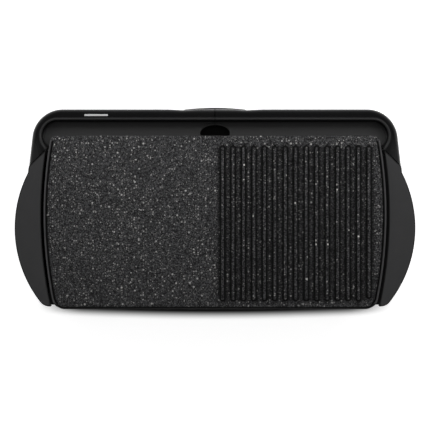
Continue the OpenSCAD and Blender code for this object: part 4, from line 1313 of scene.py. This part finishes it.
def foot_shape():
    """Rubber feet: a round-edged pad with two grooves in its sole and a plug up into the leg."""
    shape = Shape()
    for lo, hi in ((LEG_LO, LEG_HI), (REAR_LEG_LO, REAR_LEG_HI)):
        x, y = (lo[0] + hi[0]) / 2, (lo[1] + hi[1]) / 2
        profile = [(2.5, 0.7), (3.0, 0.1), (3.4, 0), (5.2, 0), (5.6, 0.1), (6.1, 0.7), (6.6, 0.1), (7.0, 0),
                   (9.4, 0), (10.1, 0.25), (10.45, 0.9), (10.5, 2.0), (10.45, 3.4), (10.1, 3.85),
                   (9.6, 4.0), (5.1, 4.0), (4.95, 4.4), (4.95, 10.2), (4.4, 10.9), (1.0, 11.0)]
        shape.pair(Shape().lathe(x, y, profile, 48))
    return shape


# ---- the heater ----

def element_path():
    """Middle line of the heating element, from one cold end round the plate to the other, at tube level."""
    hi = ELEMENT_HI[0] - TUBE_R
    rear_y, front_y, mid_y = BAR_LO[1] - 27, ELEMENT_LO[1] + TUBE_R, BAR_LO[1] - 70
    loop_x, r, pin_x = hi - 130, 20.0, 14.0
    right = np.concatenate([
        [[pin_x, ELEMENT_HI[1]]],
        arc(pin_x + r, rear_y + r, r, 180, 270, 12),
        arc(hi - r, rear_y - r, r, 90, 0, 12),
        arc(hi - r, front_y + r, r, 0, -90, 12),
        arc(loop_x + r, front_y + r, r, -90, -180, 12),
        arc(loop_x - r, mid_y - r, r, 0, 90, 12),
    ])
    flat = np.concatenate([right, (right * [-1, 1])[::-1]])
    return lift(flat, TUBE_Z)


def element_shape():
    """The element's tube: a circle carried along its path, crimped a little towards its cold ends."""
    path = element_path()
    run = np.r_[0, np.cumsum(np.linalg.norm(np.diff(path, axis=0), axis=1))]
    ends = np.minimum(run, run[-1] - run)
    radius = TUBE_R - 0.35 * smooth((6 - ends) / 3)
    return Shape().tube(path, radius, 20)


def clamp_shape():
    """Straps over the element: a strip with round ends and a hump where the tube runs under it."""
    shape = Shape()
    t = 1.2
    z = TUBE_Z - TUBE_R - t - 0.1
    for x, y in clamp_places():
        strap = Shape()
        strap.slab(rectangle(x - 4, y - CLAMP_REACH - 4, x + 4, y + CLAMP_REACH + 4, 3.9, 8), z, z + t, 0.3)
        strap.slab(rectangle(x - 2.6, y - 4.5, x + 2.6, y + 4.5, 1.2, 4), z - 0.6, z + 0.2, 0.5)
        shape.pair(strap)
    return shape


def pin_shape():
    """Contact pins: rods along the depth with round tips, turned about their own axis."""
    shape = Shape()
    lo, hi = box_mm("contact_pins")
    r, x = (hi[2] - lo[2]) / 2, hi[0] - (hi[2] - lo[2]) / 2
    tip = np.linspace(0, math.pi / 2, 7)
    y = np.r_[lo[1], hi[1] - 2.2 + 2.2 * np.sin(tip), hi[1]]
    radius = np.r_[r, r * (0.35 + 0.65 * np.cos(tip)), 0.2]
    path = np.stack([np.full(len(y), x), y, np.full(len(y), TUBE_Z)], -1)
    rings = path[:, None] + radius[:, None, None] * upright_ring(20)
    return shape.loft(rings).both()


def insulator_shape():
    """Ceramic bushes round the pins: stepped rods with round shoulders."""
    shape = Shape()
    lo, hi = box_mm("pin_insulators")
    x = box_mm("contact_pins")[1][0] - 2.5
    outer, neck = hi[0] - x, hi[0] - x - 1.2
    profile = [(2.6, lo[1]), (outer - 0.6, lo[1]), (outer, lo[1] + 0.6), (outer, GUARD_LO[1] - 0.4),
               (outer - 0.4, GUARD_LO[1]), (neck, GUARD_LO[1] + 0.05), (neck, hi[1] - 0.7),
               (neck - 0.6, hi[1]), (2.6, hi[1])]
    rings = np.stack([np.array([x, y, TUBE_Z]) + r * upright_ring(28) for r, y in profile])
    return shape.loft(rings).both()


def guard_shape():
    """The socket's guard: sheet bent into a box with round corners, open to the rear, with two ears above."""
    shape = Shape()
    x, z0, z1 = GUARD_HI[0] - EAR_REACH, GUARD_LO[2], GUARD_HI[2]
    y0, y1, t = GUARD_LO[1], GUARD_HI[1], 1.5
    loop = lambda d: rectangle(-x + d, z0 + d, x - d, z1 - d, max(4 - d, 1), 6)
    profile = ((0.6, y0), (0.15, y0 + 0.2), (0, y0 + 0.8), (0, y1 - 0.5), (0.2, y1 - 0.1), (0.6, y1),
               (t - 0.5, y1), (t - 0.15, y1 - 0.15), (t, y1 - 0.6), (t, y0 + t + 0.5), (t + 0.4, y0 + t))
    rings = np.stack([lift(loop(d), y)[:, [0, 2, 1]] for d, y in profile])
    shape.loft(rings)
    ear_x = x + EAR_REACH
    ears = rectangle(-ear_x, y0 + 2, ear_x, y0 + 14, 4, 6)
    shape.slab(ears, z1 - t, z1, 0.35)
    return shape


# ---- screws ----

def screw_shape(places, r):
    """Pan-head screws that point up: a domed head with a cross recess pressed into it, on a threaded shank.

    A dome of 0.45 sqrt(1 - (rho / R)^2) of the head's height stands on the rest of it; the recess is
    deep where either arm of the cross is near."""
    shape = Shape()
    n_around, n_out = 32, 9
    a = np.linspace(0, 2 * math.pi, n_around, endpoint=False)
    head_r, head_h = 1.9 * r, 2.2
    rho = head_r * np.linspace(0, 1, n_out) ** 0.8
    rho[0] = 0.02
    px, py = rho[:, None] * np.cos(a), rho[:, None] * np.sin(a)
    arm = np.minimum(np.abs(px), np.abs(py))
    cross = smooth((0.34 * r - arm) / (0.16 * r)) * smooth((1.15 * r - rho[:, None]) / (0.3 * r))
    face = -head_h * (0.55 + 0.45 * np.sqrt(np.maximum(1 - (rho[:, None] / head_r) ** 2, 0))) + 1.1 * cross
    for x, y, z, reach in places:
        top = np.stack([x + px, y + py, z + face], -1)
        rim = [(head_r, -0.35 * head_h), (head_r, 0), (r, 0), (r, 0.6)]
        turns = [(r - 0.22 * (k % 2), 0.6 + 0.5 * k) for k in range(1, int((reach - 1.6) / 0.5))]
        tail = [(r * 0.75, reach - 0.5), (r * 0.3, reach)]
        around = np.stack([np.cos(a), np.sin(a)], -1)
        rings = [lift(np.array([x, y]) + q * around, z + h) for q, h in rim + turns + tail]
        shape.loft(np.concatenate([top, np.stack(rings)]))
    return shape


def screw_sets():
    """Name, body, shank radius and (x, y, head's underside, reach) of each set of screws."""
    both = lambda places: [(s * x, y, z, h) for x, y, z, h in places for s in (-1, 1)]
    low_z = TUBE_Z - TUBE_R - 1.3
    return [
        ("clamp_screw_set", "plate", "clamp_screws", 1.4,
         both([(x, y + s * CLAMP_REACH, low_z, 8) for x, y in clamp_places() for s in (-1, 1)])),
        ("guard_screw_set", "plate", "guard_screws", 1.4, both([(EAR_X, EAR_Y, GUARD_HI[2] - 1.5, 4.5)])),
        ("handle_screw_set", "frame", "handle_screws", 1.6,
         both([(x, y, ARM_TOP_Z - 10, 12.8) for x, y in handle_bosses()])),
        ("carrier_screw_set", "frame", "carrier_screws", 1.6,
         both([(CARRIER_X, y, FRAME_Z - 2, 11) for y in CARRIER_YS])),
        ("crossbar_screw_set", "frame", "crossbar_screws", 1.6, both([(LEG_X - 19, LEG_YS[1], FRAME_Z, 12)])),
        ("arm_screw_set", "frame", "arm_screws", 1.6,
         both([(SLOT_X - d, BACK_Y + 9, FRAME_Z + 10, 8) for d in (34, 21)])),
        ("leg_screw_set", "frame", "leg_screws", 2.0, both([(LEG_X, y, FRAME_Z - 8, 18) for y in LEG_YS])),
    ]


def reflector_screw_shape():
    """Screws that hold the reflector down: the same head turned to face up."""
    x = PAD_X - 50
    shape = screw_shape([(s * x, y, -PAN_HI[2], 5) for y in PAD_YS for s in (-1, 1)], 1.6)
    shape.points = [p * [1, 1, -1] for p in shape.points]
    return shape


def rest_shape():
    """Heat-proof pads: short round-edged posts with a spigot down into the frame."""
    shape = Shape()
    z0, z1 = PAN_HI[2], REST_HI[2]
    for y in PAD_YS:
        profile = [(1, z0 - 5), (2.6, z0 - 5), (3, z0 - 4.6), (3, z0), (7.4, z0), (7.85, z0 + 0.2),
                   (8, z0 + 0.8), (8, z1 - 0.8), (7.8, z1 - 0.25), (7.3, z1), (4, z1), (3.6, z1 - 0.6),
                   (1, z1 - 0.6)]
        shape.pair(Shape().lathe(PAD_X, y, profile, 44))
    return shape


def strip_shape():
    """The plain strip let into the rim: a thin slab with round corners."""
    lo, hi = STRIP_LO, STRIP_HI
    return Shape().slab(rectangle(lo[0], lo[1], hi[0], hi[1], 1.1, 6), lo[2], hi[2] - 0.15, 0.2)


# ---- settings ----

def colour_prop(name, text, default):
    """A colour setting."""
    return bpy.props.FloatVectorProperty(name=name, description=text, subtype="COLOR", size=4, min=0, max=1,
                                         default=(*default, 1))


def number_prop(name, text, default, low=0.0, unit="NONE"):
    """A number setting."""
    return bpy.props.FloatProperty(name=name, description=text, default=default, min=low, unit=unit)


class GriddleColours(bpy.types.PropertyGroup):
    """Colours of the griddle's finishes"""
    coating_dark: colour_prop("Coating, dark", "Dark parts of the plate's stone-look coating",
                              (0.004, 0.004, 0.0043))
    coating_light: colour_prop("Coating, light", "Light parts of the plate's stone-look coating",
                               (0.134, 0.134, 0.139))
    lip: colour_prop("Lip", "Plain coating of the plate's side lips", (0.105, 0.104, 0.107))
    gloss: colour_prop("Rim", "Glossy plastic of the frame's rim", (0.0075, 0.0075, 0.0078))
    # The gutter's colour is also painted on the rim's inner bead as a highlight.
    trough_and_sheen: colour_prop("Gutter", "Satin plastic of the gutter", (0.054, 0.054, 0.0545))
    grip: colour_prop("Handle covers", "Matte plastic of the handle covers", (0.05, 0.05, 0.051))
    # The arms' colour is also painted along the handle covers' brims as shade.
    satin: colour_prop("Arms", "Satin plastic of the arms, legs and crossbar", (0.008, 0.008, 0.0083))


class GriddleStage(bpy.types.PropertyGroup):
    """Floor, camera and lights round the griddle"""
    floor: colour_prop("Floor", "Colour of the floor", (0.86, 0.86, 0.86))
    camera_height: number_prop("Camera height", "Height of the camera above the table", 2.1, 0.5, "LENGTH")
    view_width: number_prop("View width", "Width of the view at the plate's level", 0.6004, 0.3, "LENGTH")
    glow: number_prop("Floor glow", "Light that the floor gives off by itself", 0.85)
    key_power: number_prop("Key light", "Power of the soft light in front", 8.0, unit="POWER")
    side_power: number_prop("Side lights", "Power of each soft light at the sides", 2.0, unit="POWER")
    surround: number_prop("Surround", "Brightness of the room near the horizon", 0.9)


# ---- operators ----

class GRIDDLE_OT_plate(bpy.types.Operator):
    """Cast the cooking plate with its ribs, lips, skirt and bosses"""
    bl_idname = "griddle.plate"
    bl_label = "Cooking Plate"

    def execute(self, context):
        shape = plate_shape()
        plate_skirt(shape)
        plate_underside(shape)
        finished("cast_plate", shape, "plate", "cooking_plate", "stone_coating",
                 sharp=50, marks={"crease_shade": plate_crease_shade, "bare": plate_bare})
        return {"FINISHED"}


class GRIDDLE_OT_heater(bpy.types.Operator):
    """Bend the heating element and add its clamps, pins, bushes and guard"""
    bl_idname = "griddle.heater"
    bl_label = "Heater"

    def execute(self, context):
        for name, shape, node, slot in (
            ("element_tube", element_shape(), "heating_element", "element_steel"),
            ("element_straps", clamp_shape(), "element_clamps", "zinc_steel"),
            ("plug_pins", pin_shape(), "contact_pins", "pin_steel"),
            ("ceramic_bushes", insulator_shape(), "pin_insulators", "insulator"),
            ("socket_shroud", guard_shape(), "socket_guard", "guard_steel"),
        ):
            finished(name, shape, "plate", node, slot)
        return {"FINISHED"}


class GRIDDLE_OT_front(bpy.types.Operator):
    """Mould the two halves of the frame's front, with the rim and the gutter"""
    bl_idname = "griddle.front"
    bl_label = "Front Frame"

    def execute(self, context):
        shape = front_frame_shape()
        frame_fixings(shape)
        for side, half in (("right", shape), ("left", shape.mirrored())):
            finished(f"rim_{side}", half, "frame", f"front_frame_{side}", "gloss_black",
                     sharp=45, marks={"trough_and_sheen": trough_and_bead_sheen})
        finished("rim_strip", strip_shape(), "frame", "name_strip", "pale_print")
        return {"FINISHED"}


class GRIDDLE_OT_handles(bpy.types.Operator):
    """Mould the handle covers and the arms under them"""
    bl_idname = "griddle.handles"
    bl_label = "Handles"

    def execute(self, context):
        cover, arm = cover_shape(), arm_shape()
        loop = handle_loop(HANDLE_SEAM)
        # Painted shade along the handle cover's rounded brim, within 1.9 mm of its outline.
        brim_shade = lambda p: smooth((1.9 - distance_to(np.stack([np.abs(p[:, 0]), p[:, 1]], -1), loop)) / 1.1)
        for side, turn in (("right", lambda s: s), ("left", lambda s: s.mirrored())):
            finished(f"grip_{side}", turn(cover), "frame", f"handle_cover_{side}", "matte_black",
                     marks={"brim_shade": brim_shade})
            finished(f"arm_{side}", turn(arm), "frame", f"side_arm_{side}", "satin_black")
        return {"FINISHED"}


class GRIDDLE_OT_tray(bpy.types.Operator):
    """Press the drip tray and mould the channel that it slides in"""
    bl_idname = "griddle.tray"
    bl_label = "Drip Tray"

    def execute(self, context):
        piece("fat_tray", tray_shape(), finish("tray_black"), "tray", ["drip_tray"], "satin_black")
        finished("tray_channel", carrier_shape(), "frame", "tray_carrier", "satin_black")
        return {"FINISHED"}


class GRIDDLE_OT_underframe(bpy.types.Operator):
    """Make the rear crossbar, the reflector, the pads, the legs and the feet"""
    bl_idname = "griddle.underframe"
    bl_label = "Underframe"

    def execute(self, context):
        finished("crossbar", crossbar_shape(), "frame", "rear_crossbar", "satin_black")
        finished("reflector_pan", reflector_shape(), "frame", "heat_reflector", "reflector_sheet")
        finished("heat_pads", rest_shape(), "frame", "plate_rests", "heatproof_pad")
        for row, lo, hi in (("front", LEG_LO, LEG_HI), ("rear", REAR_LEG_LO, REAR_LEG_HI)):
            leg = leg_shape(lo, hi)
            finished(f"leg_{row}_r", leg, "frame", f"leg_{row}_right", "satin_black")
            finished(f"leg_{row}_l", leg.mirrored(), "frame", f"leg_{row}_left", "satin_black")
        finished("soft_feet", foot_shape(), "frame", "rubber_feet", "foot_rubber")
        return {"FINISHED"}


class GRIDDLE_OT_screws(bpy.types.Operator):
    """Drive the screws"""
    bl_idname = "griddle.screws"
    bl_label = "Screws"

    def execute(self, context):
        for name, body, node, r, places in screw_sets():
            finished(name, screw_shape(places, r), body, node, "zinc_steel")
        finished("reflector_screw_set", reflector_screw_shape(), "frame", "reflector_screws", "zinc_steel")
        return {"FINISHED"}


class GRIDDLE_OT_carried(bpy.types.Operator):
    """Give the frame's own remaining parts their finishes"""
    bl_idname = "griddle.carried"
    bl_label = "Carried Parts"

    def execute(self, context):
        slots = {p["node"]: p["material_slot"] for p in frame["record"]["subparts"]}
        for name, made in frame["nodes"].items():
            if made.hide_render:
                continue
            made.data.materials.clear()
            made.data.materials.append(finish(slots[name]))
        return {"FINISHED"}


class GRIDDLE_OT_stage(bpy.types.Operator):
    """Lay the floor, hang the soft lights and place the camera"""
    bl_idname = "griddle.stage"
    bl_label = "Stage"

    def execute(self, context):
        settings = context.scene.griddle_stage
        lay_floor(settings)
        hang_lights(settings)
        place_camera(settings)
        return {"FINISHED"}


def lay_floor(settings):
    """A large level pale floor with a faint grain, which glows a little except in a painted soft shadow.

    The painted shadow lies under the griddle and a little way out behind it, and fades towards both sides.
    Near the griddle the glow also dims with ambient occlusion, a painted contact shade."""
    material, n, where, into = new_material("studio_floor", {"Roughness": 0.75, "Specular IOR Level": 0.2})
    shade = n.ramp(n.noise(where, 3.0, 3.0), 0.3, 0.7, 0.98, 1.0, "LINEAR")
    tone = n.add("ShaderNodeMix", {0: 1.0, 6: list(settings.floor), 7: (1, 1, 1, 1)}, data_type="RGBA",
                 blend_type="MULTIPLY")
    n.feed(tone.inputs[7], n.add("ShaderNodeCombineColor", {0: shade, 1: shade, 2: shade}).outputs[0])
    # Painted shadow: near black under the griddle and just behind it, fading to the sides.
    place = n.add("ShaderNodeSeparateXYZ", {0: where}).outputs
    along = n.ramp(n.math("ABSOLUTE", place["X"]), 0.19, 0.268, 1.0, 0.0)
    ahead = n.ramp(place["Y"], -0.13, -0.09)
    bulge = n.math("MULTIPLY", n.math("MULTIPLY", place["X"], place["X"]), 0.12)
    behind = n.ramp(n.math("ADD", place["Y"], bulge), 0.1482, 0.163, 1.0, 0.0)
    painted_shadow = n.math("MULTIPLY", n.math("MULTIPLY", along, ahead), behind)
    n.feed(into["Base Color"], n.mix(painted_shadow, tone.outputs[2], [0.02, 0.02, 0.02, 1]))
    into["Emission Color"].default_value = (1, 1, 1, 1)
    # The floor's glow dims where the griddle is near, a painted contact shade.
    near = n.add("ShaderNodeAmbientOcclusion", {"Distance": 0.07}, samples=12).outputs["AO"]
    glow = n.ramp(near, 0.25, 0.85, 0.0, settings.glow)
    n.feed(into["Emission Strength"], n.math("MULTIPLY", glow, n.math("SUBTRACT", 1.0, painted_shadow)))
    size = 6.0
    mesh = bpy.data.meshes.new("studio_floor")
    corners = np.array([[-1, -1, 0], [1, -1, 0], [1, 1, 0], [-1, 1, 0]]) * size
    mesh.from_pydata(corners, [], [[0, 1, 2, 3]])
    mesh.materials.append(material)
    floor = bpy.data.objects.new("studio_floor", mesh)
    bpy.context.scene.collection.objects.link(floor)


def soft_light(name, place, target, size, power):
    """A rectangular soft light that faces its target."""
    data = bpy.data.lights.new(name, "AREA")
    data.shape = "RECTANGLE"
    data.size, data.size_y = size
    data.energy = power
    lamp = bpy.data.objects.new(name, data)
    lamp.location = place
    aim = np.array(target, float) - np.array(place, float)
    lamp.rotation_euler = Vector(aim).to_track_quat("-Z", "Y").to_euler()
    bpy.context.scene.collection.objects.link(lamp)
    return lamp


def hang_lights(settings):
    """A broad low key in front of the griddle, weak sides, and a surround dark overhead and behind."""
    middle = (0, 0, 0.06)
    key = soft_light("key", (-0.1, -0.72, 0.66), middle, (2.2, 0.45), settings.key_power)
    key.visible_glossy = False
    soft_light("side_right", (-1.8, -0.1, 1.1), middle, (0.9, 2.0), settings.side_power)
    soft_light("side_left", (1.8, -0.1, 1.1), middle, (0.9, 2.0), settings.side_power * 0.7)
    world = bpy.data.worlds.new("studio")
    world.use_nodes = True
    n = Nodes(world.node_tree)
    way = n.add("ShaderNodeTexCoord").outputs["Generated"]
    parts = n.add("ShaderNodeSeparateXYZ", {0: way}).outputs
    high = n.ramp(parts["Z"], 0.4, 0.86, 1.0, 0.12)
    front = n.ramp(parts["Y"], -0.7, 0.6, 0.72, 0.36)
    back = world.node_tree.nodes["Background"]
    back.inputs["Color"].default_value = (1, 1, 1, 1)
    n.feed(back.inputs["Strength"], n.math("MULTIPLY", n.math("MULTIPLY", high, front), settings.surround))
    bpy.context.scene.world = world
    bpy.context.scene.view_settings.view_transform = "Standard"


def place_camera(settings):
    """A camera straight above, turned so that the griddle's front is at the top of the view."""
    data = bpy.data.cameras.new("camera")
    above = settings.camera_height - RIM_Z * MM
    data.sensor_width = 36.0
    data.lens = data.sensor_width * above / settings.view_width
    data.clip_end = 20
    camera = bpy.data.objects.new("camera", data)
    camera.location = (0, 0.0096, settings.camera_height)
    camera.rotation_euler = (0, 0, math.pi)
    bpy.context.scene.collection.objects.link(camera)
    bpy.context.scene.camera = camera


class GRIDDLE_PT_panel(bpy.types.Panel):
    """Buttons for each step, and the griddle's settings"""
    bl_idname = "GRIDDLE_PT_panel"
    bl_label = "Electric Griddle"
    bl_space_type = "VIEW_3D"
    bl_region_type = "UI"
    bl_category = "Griddle"

    def draw(self, context):
        layout = self.layout
        for step in STEPS:
            layout.operator(step.bl_idname)
        for group in (context.scene.griddle_colours, context.scene.griddle_stage):
            box = layout.box()
            for key in group.__annotations__:
                box.prop(group, key)


STEPS = (GRIDDLE_OT_plate, GRIDDLE_OT_heater, GRIDDLE_OT_front, GRIDDLE_OT_handles, GRIDDLE_OT_tray,
         GRIDDLE_OT_underframe, GRIDDLE_OT_screws, GRIDDLE_OT_carried, GRIDDLE_OT_stage)
CLASSES = (GriddleColours, GriddleStage, *STEPS, GRIDDLE_PT_panel)


def register():
    """Registers the settings, the operators and the panel."""
    for cls in CLASSES:
        bpy.utils.register_class(cls)
    bpy.types.Scene.griddle_colours = bpy.props.PointerProperty(type=GriddleColours)
    bpy.types.Scene.griddle_stage = bpy.props.PointerProperty(type=GriddleStage)


def unregister():
    """Takes them all away again."""
    del bpy.types.Scene.griddle_stage
    del bpy.types.Scene.griddle_colours
    for cls in reversed(CLASSES):
        bpy.utils.unregister_class(cls)


def main():
    """Runs each step in order."""
    register()
    for step in STEPS:
        area, action = step.bl_idname.split(".")
        getattr(getattr(bpy.ops, area), action)()


if __name__ == "__main__":
    main()
